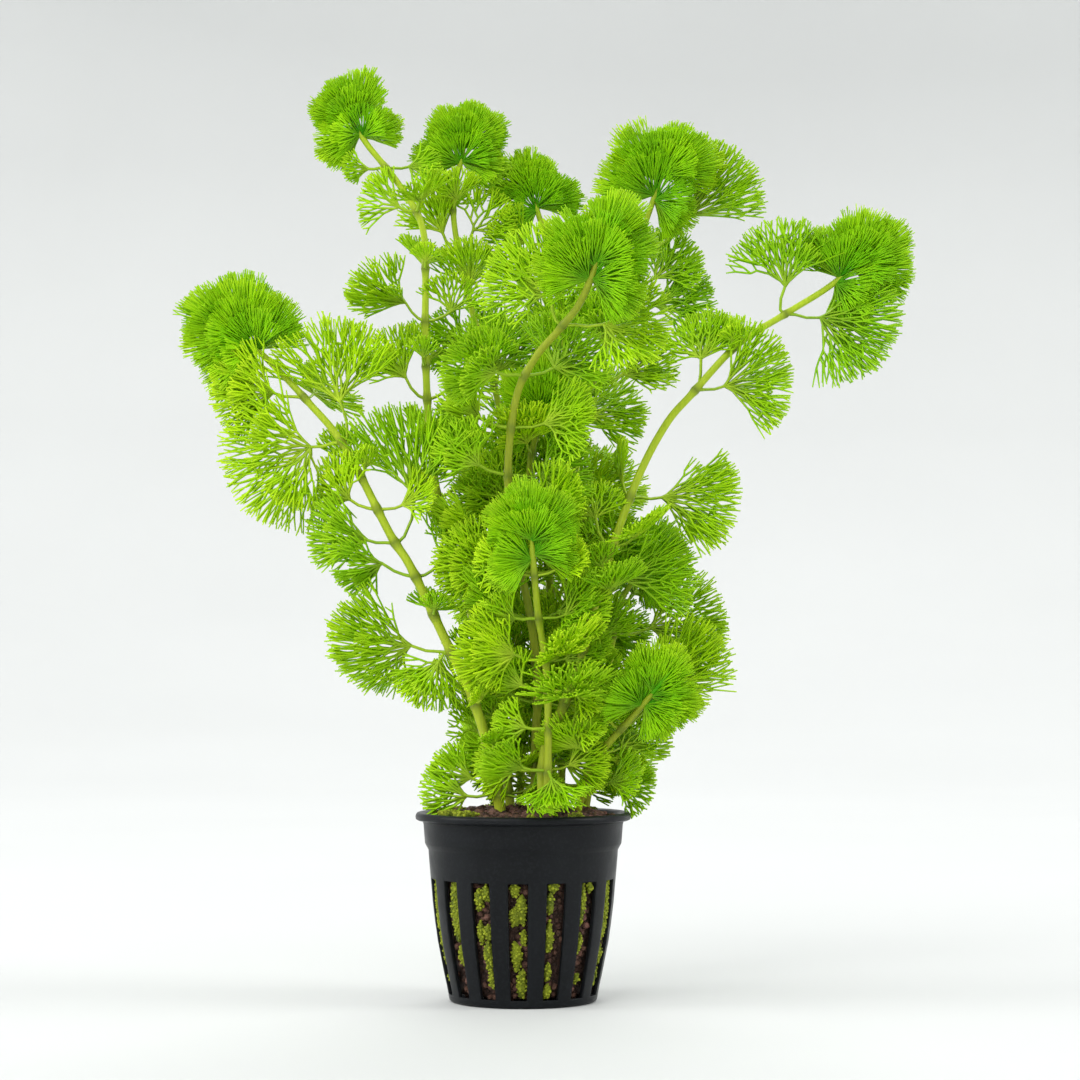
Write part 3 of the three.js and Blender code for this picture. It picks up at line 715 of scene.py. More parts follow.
def lumps_tree():
    """Scatters rough lumps over a surface, and keeps the surface under them."""
    sizes = ("Spacing", "Smallest", "Largest", "Length", "Roughness", "Roughness Scale")
    inputs = {**{label: "Float" for label in sizes}, "Seed": "Int"}
    tree, given = geometry_tree("Scattered lumps", inputs)

    def node(kind, x, y, inputs=None, **settings):
        return tree_node(tree, kind, x, y, inputs, **settings)

    inputs = {
        "Mesh": given["Geometry"],
        "Distance Min": given["Spacing"],
        "Density Max": 4.0e6,
        "Density Factor": point_value(tree, "sown", -1300, -200),
        "Seed": given["Seed"],
    }
    scatter = node(
        "GeometryNodeDistributePointsOnFaces", -1050, 100, inputs, distribute_method="POISSON"
    )
    inputs = {"Segments": 6, "Rings": 3, "Radius": 1.0}
    ball = node("GeometryNodeMeshUVSphere", -1050, -400, inputs)
    inputs = {"Min": given["Smallest"], "Max": given["Largest"]}
    size = node("FunctionNodeRandomValue", -1050, -650, inputs, data_type="FLOAT")
    inputs = {"Min": (-0.7, -0.7, 0.0), "Max": (0.7, 0.7, 6.28)}
    turn = node("FunctionNodeRandomValue", -1050, -900, inputs, data_type="FLOAT_VECTOR")
    inputs = {"X": size, "Y": size, "Z": product(tree, -900, -750, size, given["Length"])}
    stretch = node("ShaderNodeCombineXYZ", -800, -650, inputs)
    inputs = {
        "Points": scatter,
        "Instance": ball,
        "Rotation": scatter.outputs["Rotation"],
        "Scale": stretch,
    }
    place = node("GeometryNodeInstanceOnPoints", -550, 100, inputs)
    spin = node(
        "GeometryNodeRotateInstances", -350, 100, {"Instances": place, "Rotation": turn}
    )
    own = node("FunctionNodeRandomValue", -350, -300, data_type="FLOAT")
    keep = tree.nodes.new("GeometryNodeStoreNamedAttribute")
    keep.data_type, keep.domain = "FLOAT", "INSTANCE"
    feed(tree, keep, {"Geometry": spin, "Name": "tint", "Value": own})
    real = node("GeometryNodeRealizeInstances", 50, 100, {"Geometry": keep})
    where = node("GeometryNodeInputPosition", -150, -500)
    inputs = {"Vector": where, "Scale": given["Roughness Scale"], "Detail": 1.0}
    rough = node("ShaderNodeTexNoise", 50, -400, inputs).outputs["Color"]
    inputs = {0: rough, 1: (0.5, 0.5, 0.5)}
    centred = node("ShaderNodeVectorMath", 250, -400, inputs, operation="SUBTRACT")
    inputs = {0: centred, "Scale": given["Roughness"]}
    amount = node("ShaderNodeVectorMath", 400, -400, inputs, operation="SCALE")
    shape = node("GeometryNodeSetPosition", 300, 100, {"Geometry": real, "Offset": amount})
    both = node("GeometryNodeJoinGeometry", 500, 100, {"Geometry": shape})
    tree.links.new(given["Geometry"], both.inputs["Geometry"])
    return finished_tree(tree, given, both, 700)


def run_tree(mesh, name, tree, inputs):
    """Runs a tree on a mesh once and returns its result as a plain object."""
    piece = bpy.data.objects.new(name, mesh)
    bpy.context.scene.collection.objects.link(piece)
    modifier = piece.modifiers.new(tree.name, "NODES")
    modifier.node_group = tree
    for label, value in inputs.items():
        modifier[socket_id(tree, label)] = value
    graph = bpy.context.evaluated_depsgraph_get()
    made = bpy.data.meshes.new_from_object(
        piece.evaluated_get(graph), preserve_all_data_layers=True, depsgraph=graph
    )
    piece.modifiers.remove(modifier)
    piece.data = made
    made.name = name
    bpy.data.meshes.remove(mesh)
    if not made.polygons:
        raise RuntimeError(f"{name} came out empty")
    return piece


# ---- lines, stems and leaves ----


def smooth_line(points, per_span=14):
    """A smooth line through points."""
    ends = [2 * points[0] - points[1], *points, 2 * points[-1] - points[-2]]
    line = []
    for a, b, c, d in zip(ends, ends[1:], ends[2:], ends[3:]):
        for k in range(per_span):
            t = k / per_span
            start = 2 * b + (c - a) * t
            bend, twist = 2 * a - 5 * b + 4 * c - d, 3 * b - a - 3 * c + d
            line.append(0.5 * (start + bend * t * t + twist * t**3))
    line.append(points[-1].copy())
    return line


def evenly(line, step):
    """Points at even steps along a line."""
    total = sum((q - p).length for p, q in zip(line, line[1:]))
    count = max(2, round(total / step))
    spaced = [line[0].copy()]
    passed = 0.0
    for p, q in zip(line, line[1:]):
        span = (q - p).length
        while len(spaced) < count and passed + span >= total * len(spaced) / count:
            share = (total * len(spaced) / count - passed) / span
            spaced.append(p.lerp(q, share))
        passed += span
    spaced.append(line[-1].copy())
    return spaced


class Stem:
    """The smooth centre line of a stem, with its radius along it."""

    def __init__(self, name, step):
        plan = STEMS[name]
        self.name = name
        self.tuft = plan["tuft"] * MM
        self.line = evenly(smooth_line([Vector(p) * MM for p in plan["route"]]), step)
        last = len(self.line) - 1
        low, high = plan["radius"]
        self.radii = [(low + (high - low) * i / last) * MM for i in range(last + 1)]

    def at(self, height):
        """Point and radius at a height."""
        for i in range(1, len(self.line)):
            if self.line[i].z > height * MM or i == len(self.line) - 1:
                break
        below, above = self.line[i - 1], self.line[i]
        share = (height * MM - below.z) / (above.z - below.z)
        return below.lerp(above, share), self.radii[i]

    def behind_tip(self, distance):
        """Point and direction at a distance back from the tip."""
        for i in range(len(self.line) - 1, 0, -1):
            span = (self.line[i] - self.line[i - 1]).length
            if distance <= span or i == 1:
                break
            distance -= span
        ahead = (self.line[i] - self.line[i - 1]).normalized()
        return self.line[i] - ahead * distance, ahead


class Strands:
    """Lines of points that become fine tubes, with what is known of each point."""

    def __init__(self):
        self.points = []
        self.edges = []
        self.values = {"girth": [], "reach": [], "tint": [], "youth": []}

    def add(self, points, girths, reaches, tint, youth=0.0):
        first = len(self.points)
        self.points.extend(points)
        self.edges.extend((first + i, first + i + 1) for i in range(len(points) - 1))
        self.values["girth"].extend(girths)
        self.values["reach"].extend(reaches)
        self.values["tint"].extend([tint] * len(points))
        self.values["youth"].extend([youth] * len(points))

    def mesh(self, name):
        mesh = bpy.data.meshes.new(name)
        mesh.from_pydata([tuple(p) for p in self.points], self.edges, [])
        for label, values in self.values.items():
            layer = mesh.attributes.new(label, "FLOAT", "POINT")
            layer.data.foreach_set("value", values)
        return mesh


# How often a blade forks, from its foot to its rim, and how much wider than its own share of the
# blade each fork spreads.
FORKS = (
    (3, 2, 2, 2), (4, 2, 2, 2), (3, 2, 2, 2, 2), (4, 2, 2, 2, 2), (5, 2, 2, 2, 2),
    (3, 2, 2, 2, 2, 2), (4, 2, 2, 2, 2, 2), (5, 2, 2, 2, 2, 2),
)
OVERLAP = (1.3, 1.7, 1.7, 1.6, 1.5, 1.3)
WAVINESS = 0.035  # depth of the waves in a blade's face, as a share of its radius

# The layers of a larger leaf's blade: size as a share of the leaf's, and slope off its middle.
LAYERS = ((1.0, 0.0), (0.7, -0.13))


class Fan:
    """One divided leaf blade: ribs that fork again and again into fine strands."""

    youth = 0.0  # 1 for the young leaves in the heart of a tuft
    fineness = 1.0  # thickness and spacing of the strands, as a share of a grown leaf's
    opening = 1.0  # how much wider than that the strands are spaced
    inner, outer = 0.1, 0.76  # distance of the first and the last forks, as shares of the radius
    loose = 0.6  # how freely strands leave the blade's face
    round = 0.03  # how much shorter than the middle rib the outermost ribs are
    crossing = 0.8  # how far neighbouring parts of the blade spread over each other
    tilt = 0.0  # slope of the blade off its middle line

    def __init__(self, strands, pivot, middle, width, radius, spread, tint, leaf, dice):
        self.strands = strands
        self.pivot = pivot
        self.middle = middle
        self.width = width
        self.face = middle.cross(width)
        self.radius = radius
        self.spread = math.radians(spread)
        self.tint = tint
        self.leaf = leaf
        self.dice = dice
        self.wave = dice.uniform(0, math.tau)
        self.cup = leaf.cup

    def place(self, out, angle, tilt):
        """Point of the blade at a distance from its foot."""
        share = out / self.radius
        depth = self.cup * share * out + tilt * out
        depth += WAVINESS * self.radius * share * math.sin(3 * angle + self.wave)
        along = self.middle * (out * math.cos(angle))
        across = self.width * (out * math.sin(angle))
        return self.pivot + along + across + self.face * depth

    def grow(self):
        """All the blade's strands, as many as its rim has room for."""
        wanted = self.radius * self.spread / (self.leaf.gap * self.fineness * self.opening)
        self.plan = min(FORKS, key=lambda plan: abs(math.prod(plan) - wanted))
        self.split(0, 0.0, 0.0, self.tilt, 0.0, 0.4 * self.spread, self.tilt, 1.0)

    def split(self, level, start, angle, tilt, middle, half, lean, size):
        """The strands that leave one fork, each with its share of the fan and a little more."""
        count = self.plan[level]
        part = 2 * half / count
        reach = (1 + (OVERLAP[level] - 1) * self.crossing) * part / 2
        rounder = self.round if level == 0 else Fan.round
        dice = self.dice
        for n in range(count):
            beside = n - (count - 1) / 2
            heading = middle + (beside + dice.uniform(-0.3, 0.3)) * part
            turn = lean + self.loose * dice.uniform(-0.12, 0.12) / (1 + 0.4 * level)
            outermost = 2 * abs(beside) / (count - 1)
            grown = size * (1 - rounder * outermost) * dice.uniform(0.985, 1.015)
            self.strand(level, start, angle, tilt, heading, reach, turn, grown)

    def strand(self, level, start, angle, tilt, heading, half, lean, size):
        """One strand from a fork, and what grows from its end."""
        last = len(self.plan) - 1
        if level == last:
            share = self.dice.uniform(0.97, 1.06)
        else:
            share = self.inner + (self.outer - self.inner) * level / (last - 1)
            share *= self.dice.uniform(0.84, 1.16)
        end = self.radius * share * size
        leant = lean + 0.4 * tilt
        points = [self.place(start, angle, tilt), self.place(end, heading, leant)]
        ages = [start / self.radius, end / self.radius]
        thin = self.leaf.tip * self.fineness if level == last else self.girth((level + 1) / last)
        self.strands.add(points, [self.girth(level / last), thin], ages, self.tint, self.youth)
        if level < last:
            self.split(level + 1, end, heading, leant, heading, half, lean, size)

    def girth(self, share):
        """Radius of a strand, from the ribs to the rim."""
        leaf = self.leaf
        return (leaf.rib + (leaf.strand - leaf.rib) * share**0.6) * self.fineness


def leaf_from(strands, foot, radius, leaf, settings, tint, dice):
    """One leaf of a pair: a petiole that curves off the stem, then the fan."""
    direction, rise, petiole, lift, reach, spread, roll = leaf
    across_stem = math.radians(direction)
    level = Vector((math.cos(across_stem), math.sin(across_stem), 0.0))
    across = Vector((-level.y, level.x, 0.0))

    def raised(angle):
        return level * math.cos(math.radians(angle)) + Vector((0, 0, math.sin(math.radians(angle))))

    middle = raised(lift)
    upper = middle.cross(across)
    turn = math.radians(roll)
    width = across * math.cos(turn) + upper * math.sin(turn)
    start = foot + level * (radius + 0.6 * MM)
    pivot = start + raised(rise) * petiole * MM
    inside = foot + level * radius * 0.4
    sag = -upper * 0.06 * petiole * MM
    line = [inside, start.lerp(pivot, 0.15), start.lerp(pivot, 0.55) + sag, pivot]
    rib = settings.rib
    strands.add(line, [1.2 * rib, 1.05 * rib, rib, rib], [0.0] * 4, tint)
    for share, nearer in LAYERS if reach > settings.layered / MM else LAYERS[:1]:
        size = share * reach * MM
        fan = Fan(strands, pivot, middle, width, size, spread, tint, settings, dice)
        fan.cup *= share
        fan.tilt = nearer
        fan.grow()


def small_leaf(direction, reach, dice):
    """A small leaf: level and rolled upright at the sides, raised towards the front and back."""
    frontal = abs(math.sin(math.radians(direction)))
    lift = 8 + 50 * frontal + dice.uniform(-30, 25)
    roll = 76 - 60 * frontal + dice.uniform(-20, 14)
    spread = dice.uniform(130, 175)
    return (direction, 0.6 * lift, 0.42 * reach, lift, reach, spread, roll)


def strand_piece(name, strands, settings):
    """Grown strands as one leafy piece."""
    finish = shared("leaf finish", lambda: leaf_finish(settings))
    inputs = {"Sides": 3, "Thickness": 1.0, "Finish": finish}
    piece = run_tree(strands.mesh(name), name, shared("strands", strands_tree), inputs)
    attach(piece, "root")
    return piece


def pair_strands(strands, stem, height, leaves, settings, dice):
    """The two leaves of a node."""
    foot, radius = stem.at(height)
    tint = dice.uniform(0.15, 0.75)
    for leaf in leaves:
        leaf_from(strands, foot, radius, leaf, settings, tint + dice.uniform(-0.1, 0.1), dice)


# Young leaves of a tuft in layers from the back to the front, and last those of its heart: how
# far a layer leans to the front in degrees, the share of the full round it covers, its reach, its
# youth and how openly it is divided.
# A layer's youth also gives its leaves painted shade at their feet and a darker tint.
TUFT_LAYERS = (
    (-38, 1.0, 0.95, 0.3, 1.35), (-18, 1.0, 1.06, 0.35, 1.05), (3, 1.0, 1.1, 0.45, 0.95),
    (22, 1.0, 1.02, 0.6, 0.95), (42, 0.7, 0.8, 0.8, 1.2), (28, 0.35, 0.62, 1.0, 1.2),
)
TUFT_LOBES = 5
TUFT_BLADE = {"inner": 0.06, "round": 0.17, "loose": 0.25, "crossing": 0.5}


def tuft_strands(strands, stem, settings, dice):
    """The young leaves crowded along a stem's tip, older ones lower and further out."""
    tip, axis = stem.behind_tip(0.0)
    front = Vector((0, -1, 0))
    upright = Vector((axis.x, 0, axis.z)).normalized()
    aside = Vector((upright.z, 0, -upright.x))
    round_turn = math.radians(106 + 56 * max(0.0, axis.dot(front)))
    lobes = [
        (2 * (n + 0.5 + dice.uniform(-0.2, 0.2)) / TUFT_LOBES - 1, dice.uniform(0.88, 1.07))
        for n in range(TUFT_LOBES)
    ]
    for leaning, cover, size, youth, opening in TUFT_LAYERS:
        for place, grown in lobes:
            turn = place * cover * round_turn + dice.uniform(-0.08, 0.08)
            lean = math.radians(leaning + dice.uniform(-6, 6))
            flat = upright * math.cos(turn) + aside * math.sin(turn)
            heading = flat * math.cos(lean) + front * math.sin(lean)
            behind = stem.tuft * (0.7 * abs(place) - 0.16)
            foot = stem.behind_tip(behind)[0] if behind > 0 else tip - axis * behind
            pivot = foot + heading * stem.tuft * dice.uniform(0.02, 0.07)
            away = pivot - tip
            edge = stem.tuft * size * (grown + 0.1 * abs(place)) * dice.uniform(0.97, 1.03)
            near = away.dot(heading)
            radius = -near + math.sqrt(max(0.0, near * near - away.length_squared + edge * edge))
            width = Matrix.Rotation(dice.uniform(-0.35, 0.35), 3, heading) @ heading.cross(front)
            # A higher tint is darker: younger layers get more of it as painted shade in the tuft's
            # heart, on top of a random shift from leaf to leaf.
            tint = 0.3 + 0.3 * youth + dice.uniform(-0.25, 0.25)
            rib = settings.rib * settings.fineness
            strands.add([foot, foot.lerp(pivot, 0.5), pivot], [rib] * 3, [0.0] * 3, tint, youth)
            spread = dice.uniform(84, 100)
            width.normalize()
            fan = Fan(strands, pivot, heading, width, radius, spread, tint, settings, dice)
            fan.cup = settings.cup * leaning / 45
            fan.youth, fan.fineness, fan.opening = youth, settings.fineness, opening
            for name, value in TUFT_BLADE.items():
                setattr(fan, name, value)
            fan.grow()
    # The bud is young through and through, so it takes the heart's painted shade.
    bud = [tip + axis * stem.tuft * share for share in (-0.06, 0.2, 0.5, 0.7)]
    size = STEMS[stem.name]["radius"][1] * MM
    strands.add(bud, [size, 0.9 * size, 0.5 * size, 0.1 * size], [0.0, 0.1, 0.3, 0.5], 0.5, 1.0)


NODE_REACH = 1.1 * MM  # how far a node's swelling reaches along its stem
BLUNT_TIP = (0.8, 0.55, 0.2)  # thickness of a stem's last rings, as a share of its own
OLIVE_STEMS = {"d": 0.5, "k": 0.35, "g": 0.4, "i": 0.25, "e": 0.2}  # how brown the older ones are


def stem_piece(stem, settings, finish):
    """A stem with a swollen ring at each node."""
    heights = [height for name, height, *_ in LEAF_PAIRS if name == stem.name]
    heights += [height for height, *_ in SMALL_PAIRS[stem.name]]
    nodes = [stem.at(height)[0] for height in heights]
    last = len(stem.line) - 1
    girths, rings = [], []
    for i, (point, radius) in enumerate(zip(stem.line, stem.radii)):
        near = min((point - node).length for node in nodes)
        rings.append(math.exp(-((near / NODE_REACH) ** 2)))
        if i > last - len(BLUNT_TIP):
            radius *= BLUNT_TIP[i - last - 1]
        girths.append(radius * (1 + settings.swelling * rings[-1]))
    strands = Strands()
    strands.values["ring"] = rings
    olive = OLIVE_STEMS.get(stem.name, 0.06)
    strands.add(stem.line, girths, [i / last for i in range(last + 1)], olive)
    name = f"green_stem_{stem.name}"
    inputs = {"Sides": settings.sides, "Thickness": settings.fullness, "Finish": finish}
    piece = run_tree(strands.mesh(name), name, shared("strands", strands_tree), inputs)
    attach(piece, "root")
    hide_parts(f"stem_{stem.name}")


# ---- turned forms ----


def around(radius, angle, height=0.0):
    """A point at a distance from the pot's axis."""
    return Vector((radius * math.cos(angle), radius * math.sin(angle), height))


def skin(form, rows):
    """Closes a turned wall between rings of points, its outside seen from outside."""
    for low, high in zip(rows, rows[1:]):
        for n in range(len(low)):
            m = (n + 1) % len(low)
            form.faces.new((low[n], low[m], high[m], high[n]))


def close_skin(form, rows):
    """The same with both ends closed."""
    skin(form, rows)
    form.faces.new(rows[-1])
    form.faces.new(rows[0][::-1])


def mesh_from(form, name):
    """The mesh of a finished form."""
    made = bpy.data.meshes.new(name)
    form.to_mesh(made)
    form.free()
    return made


# ---- pot ----

SLOT_STRIPS, BAR_STRIPS = 6, 6  # upright strips of faces across a slot and across a bar
LIP_INSIDE = [(24.0, 45.3), (23.55, 44.9), (23.35, 44.2), (23.2, 43.2)]
FLOOR_RINGS = (1.2, 3.5, 6.0, 8.5, 11.0, 13.0, 14.8)  # radii of the floor's rings of points
DRAIN_FIRST, DRAIN_LAST = 2, 5  # the rings that a drain starts and ends at
DRAIN_PITCH = math.pi / 3
DRAIN_HALF = 1.0  # half the width of a drain
DRAIN_SPAN = math.radians(6.5)  # half the angle of the strips that a drain opens


def pot_point(radius, angle, height):
    """A point of the pot from sizes in millimetres."""
    return (radius * math.cos(angle) * MM, radius * math.sin(angle) * MM, height * MM)


def columns(slots):
    """Angles round the pot, with a mark on those where a slot starts or goes on."""
    pitch = 360.0 / slots
    angles, opened = [], []
    for n in range(slots):
        start = FIRST_SLOT + n * pitch - SLOT_ANGLE / 2
        for k in range(SLOT_STRIPS):
            angles.append(start + SLOT_ANGLE * k / SLOT_STRIPS)
            opened.append(True)
        for k in range(BAR_STRIPS):
            angles.append(start + SLOT_ANGLE + (pitch - SLOT_ANGLE) * k / BAR_STRIPS)
            opened.append(False)
    return [math.radians(a) for a in angles], opened


def from_drain(angle):
    """Direction of the nearest drain, and how far an angle is from it."""
    nearest = round(angle / DRAIN_PITCH) * DRAIN_PITCH
    return nearest, angle - nearest


def squared(angle, radius):
    """An angle on the floor, moved so that a drain's long sides run straight."""
    nearest, offset = from_drain(angle)
    if abs(offset) > 2.2 * DRAIN_SPAN:
        return angle
    half = math.asin(DRAIN_HALF / max(radius, FLOOR_RINGS[DRAIN_FIRST]))
    if abs(offset) <= DRAIN_SPAN:
        return nearest + offset * half / DRAIN_SPAN
    beyond = (abs(offset) - DRAIN_SPAN) / (1.2 * DRAIN_SPAN)
    return nearest + math.copysign(half + beyond * (2.2 * DRAIN_SPAN - half), offset)


def slot_sides(form, angles, opened, outer_rings, inner_ring):
    """The faces through the wall round each slot."""
    count = len(angles)
    slot_rows = [i for i, (_, z) in enumerate(POT_PROFILE) if SLOT_BOTTOM <= z <= SLOT_TOP]
    for j in range(count):
        k = (j + 1) % count
        if opened[j]:
            for i, top in ((slot_rows[0], False), (slot_rows[-1], True)):
                out_row, in_row = outer_rings[i], inner_ring(i)
                corners = [out_row[j], out_row[k], in_row[k], in_row[j]]
                form.faces.new(corners if top else corners[::-1])
        for here, beside in ((j, (j - 1) % count), (k, k)):
            if not opened[j] or opened[beside]:
                continue
            for i in slot_rows[:-1]:
                out_low, out_high = outer_rings[i][here], outer_rings[i + 1][here]
                in_low, in_high = inner_ring(i)[here], inner_ring(i + 1)[here]
                form.faces.new((out_low, out_high, in_high, in_low))


def floor_faces(form, angles, top, under):
    """The pot's floor between two levels, with the drains through it."""
    count = len(angles)

    def drained(i, j):
        middle = (angles[j] + angles[(j + 1) % count] + (math.tau if j == count - 1 else 0)) / 2
        return DRAIN_FIRST <= i < DRAIN_LAST and abs(from_drain(middle)[1]) < DRAIN_SPAN

    for i in range(len(FLOOR_RINGS) - 1):
        for j in range(count):
            k = (j + 1) % count
            if not drained(i, j):
                form.faces.new((top[i][j], top[i + 1][j], top[i + 1][k], top[i][k]))
                form.faces.new((under[i][j], under[i][k], under[i + 1][k], under[i + 1][j]))
                continue
            for here, other in ((j, (j - 1) % count), (k, k)):
                if not drained(i, other):
                    upper, lower = ([rows[n][here] for n in (i, i + 1)] for rows in (top, under))
                    form.faces.new((*upper, *lower[::-1]))
            for end, ring in ((DRAIN_FIRST, i), (DRAIN_LAST - 1, i + 1)):
                if i == end:
                    form.faces.new((top[ring][j], top[ring][k], under[ring][k], under[ring][j]))
    form.faces.new(top[0])
    form.faces.new(under[0][::-1])


def pot_mesh(settings):
    """The moulded pot: outer and inner skin, slots through the wall, a floor with drains."""
    angles, opened = columns(settings.slots)
    wall, floor = settings.wall / MM, settings.floor / MM
    outer = POT_PROFILE
    inner = [(r - wall, z) for r, z in outer if floor < z < 43.0]
    inner = LIP_INSIDE + inner[::-1] + [(outer[3][0] - wall - 0.25, floor)]
    form = bmesh.new()
    rows = [[form.verts.new(pot_point(r, a, z)) for a in angles] for r, z in outer + inner]
    outer_rings, inner_rings = rows[: len(outer)], rows[len(outer) :]
    heights = [z for _, z in outer + inner]
    count = len(angles)
    for i in range(len(rows) - 1):
        low, high = sorted(heights[i : i + 2])
        slotted = low >= SLOT_BOTTOM - 1e-6 and high <= SLOT_TOP + 1e-6
        for j in range(count):
            if not (slotted and opened[j]):
                k = (j + 1) % count
                form.faces.new((rows[i][j], rows[i][k], rows[i + 1][k], rows[i + 1][j]))

    level = {round(z, 3): row for (_, z), row in zip(inner, inner_rings)}
    slot_sides(form, angles, opened, outer_rings, lambda i: level[round(outer[i][1], 3)])
    top, under = (
        [[form.verts.new(pot_point(r, squared(a, r), z)) for a in angles] for r in FLOOR_RINGS]
        for z in (floor, 0.0)
    )
    floor_faces(form, angles, top, under)
    for j in range(count):
        k = (j + 1) % count
        form.faces.new((top[-1][j], inner_rings[-1][j], inner_rings[-1][k], top[-1][k]))
        form.faces.new((under[-1][j], under[-1][k], outer_rings[0][k], outer_rings[0][j]))
    bmesh.ops.recalc_face_normals(form, faces=form.faces)
    return mesh_from(form, "net_pot")


# ---- soil and moss ----

SOIL_SIDES = 120
DOME_SIDES, DOME_RINGS = 32, 12
SOIL_TOP = 41.0  # where the filling's sides turn into its top


def wall_radius(height):
    """Inner radius of the pot at a height, in millimetres."""
    for (r0, z0), (r1, z1) in zip(POT_PROFILE, POT_PROFILE[1:]):
        if z0 <= height <= z1:
            return r0 + (r1 - r0) * (height - z0) / max(1e-6, z1 - z0) - 1.0
    return POT_PROFILE[0][0] - 1.0


def sown_form():
    """An empty form whose points carry where lumps are sown on it and its tint."""
    form = bmesh.new()
    return form, form.verts.layers.float.new("sown"), form.verts.layers.float.new("tint")


def soil_mesh(settings):
    """The filling of the pot as one lumpy closed form, marked where grains lie on it."""
    crown, edge = settings.crown / MM, settings.edge / MM
    profile = [(wall_radius(z) - 1.3, z) for z in [2.4 + 0.9 * n for n in range(34)]]
    profile += [(wall_radius(z) - 0.8, z) for z in (34.5, 37.0, 39.5, SOIL_TOP)]
    rim = profile[-1][0]
    for s in (0.97, 0.9, 0.8, 0.68, 0.55, 0.42, 0.28, 0.14):
        profile.append((rim * s, edge + (crown - edge) * (1 - s * s) - 1.0))
    form, sown, tint = sown_form()
    rows = []
    for r, z in profile:
        row = []
        for n in range(SOIL_SIDES):
            a = math.tau * n / SOIL_SIDES
            point = around(r, a, z)
            bulge = noise.noise(point * 0.35) * 0.5 + noise.noise(point * 0.9) * 0.3
            out = around(1.0, a) if z < SOIL_TOP else Vector((0, 0, 1.6))
            vert = form.verts.new((point + out * bulge) * MM)
            behind = (math.degrees(a) - FIRST_SLOT + SLOT_PITCH / 2) % SLOT_PITCH - SLOT_PITCH / 2
            at_slot = abs(behind) < SLOT_ANGLE / 2 + 1.0 and z < SLOT_TOP + 1.8
            on_top = z > SOIL_TOP or r < rim * 0.98 and z > 40
            vert[sown] = 1.0 if at_slot or on_top else 0.0
            vert[tint] = 0.15
            row.append(vert)
        rows.append(row)
    close_skin(form, rows)
    bmesh.ops.recalc_face_normals(form, faces=form.faces)
    return mesh_from(form, "soil_core")


def soil_top_mesh(settings):
    """A low closed dome under the soil's surface, on which the coarse lumps lie."""
    edge = settings.edge - 1.6 * MM
    rise = settings.crown - 1.2 * MM - edge
    out = wall_radius(40.0) * MM - settings.chunk
    form, sown, tint = sown_form()
    rows = []
    for i in range(1, DOME_RINGS):
        climb = math.pi * i / DOME_RINGS - math.pi / 2
        radius, height = out * math.cos(climb), edge + rise * math.sin(climb)
        row = [
            form.verts.new(around(radius, math.tau * n / DOME_SIDES, height))
            for n in range(DOME_SIDES)
        ]
        for vert in row:
            vert[sown] = 1.0 if climb > -0.01 else 0.0
            vert[tint] = 0.15
        rows.append(row)
    close_skin(form, rows)
    return mesh_from(form, "soil_top")


def moss_mesh():
    """The patches of moss behind the slots and on the soil, as lumpy closed cushions."""
    form, sown, tint = sown_form()

    def cushion(centre, axes, sizes, seed):
        start = len(form.verts)
        bmesh.ops.create_icosphere(form, subdivisions=2, radius=1.0)
        form.verts.ensure_lookup_table()
        for vert in form.verts[start:]:
            point = vert.co.copy()
            lump = 1 + 0.3 * noise.noise(point * 1.9 + Vector((seed, 0, 0)))
            lump += 0.12 * noise.noise(point * 4.5 + Vector((0, seed, 0)))
            place = centre.copy()
            for axis, size, part in zip(axes, sizes, point):
                place += axis * size * part * lump
            vert.co = place * MM
            vert[sown] = 1.0 if point.x > -0.2 else 0.0
            vert[tint] = 0.0

    for seed, (slot, left, right, bottom, top) in enumerate(MOSS_PATCHES):
        for turn in (0, 5, 10) if abs(slot) <= 2 else (0,):
            shift = 0.8 * noise.noise(Vector((seed * 3.1, turn, 0.5))) if turn else 0.0
            aside = (left + right) / 2 * SLOT_ANGLE / 2 * 0.86
            middle = math.radians(FIRST_SLOT + (slot + turn) * SLOT_PITCH + aside)
            height = (bottom + top) / 2 + shift
            radius = wall_radius(height) - 0.35
            out = around(1.0, middle)
            across = Vector((-out.y, out.x, 0.0))
            half = (right - left) / 2 * math.radians(SLOT_ANGLE / 2) * radius
            slope = (wall_radius(height + 3) - wall_radius(height - 3)) / 6
            up = (Vector((0, 0, 1)) + out * slope).normalized()
            centre = out * radius + Vector((0, 0, height))
            cushion(centre, (out, across, up), (0.85, half, (top - bottom) / 2), seed * 7 + turn)
    flat = (Vector((0, 0, 1)), Vector((1, 0, 0)), Vector((0, 1, 0)))
    for seed, (x, y, z, size) in enumerate(RIM_MOSS):
        cushion(Vector((x, y, z)), flat, (0.9, size, size * 0.8), 300 + seed * 11)
    return mesh_from(form, "moss_core")


# Lumps of earth and sprigs of moss: their sizes as shares of their radius.
GRAIN = {"Spacing": 1.45, "Smallest": 0.6, "Largest": 1.25, "Roughness": 1.1}
SPRIG = {"Spacing": 1.6, "Smallest": 0.7, "Largest": 1.3, "Roughness": 0.5}


def lumpy_piece(name, mesh, size, sizes, inputs):
    """Lumps sown over a mesh, as one piece of the soil."""
    inputs = {**{label: part * size for label, part in sizes.items()}, **inputs}
    piece = run_tree(mesh, name, shared("lumps", lumps_tree), inputs)
    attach(piece, "root")
    return piece


# ---- operators ----


# The studio floor rises into a backdrop: its profile from the middle out, in metres.
SWEEP = [
    (0.6, 0.0), (1.2, 0.0), (1.5, 0.03), (1.8, 0.12), (2.1, 0.3), (2.35, 0.6), (2.5, 1.0),
    (2.6, 1.6), (2.62, 2.4),
]
SWEEP_SIDES = 96

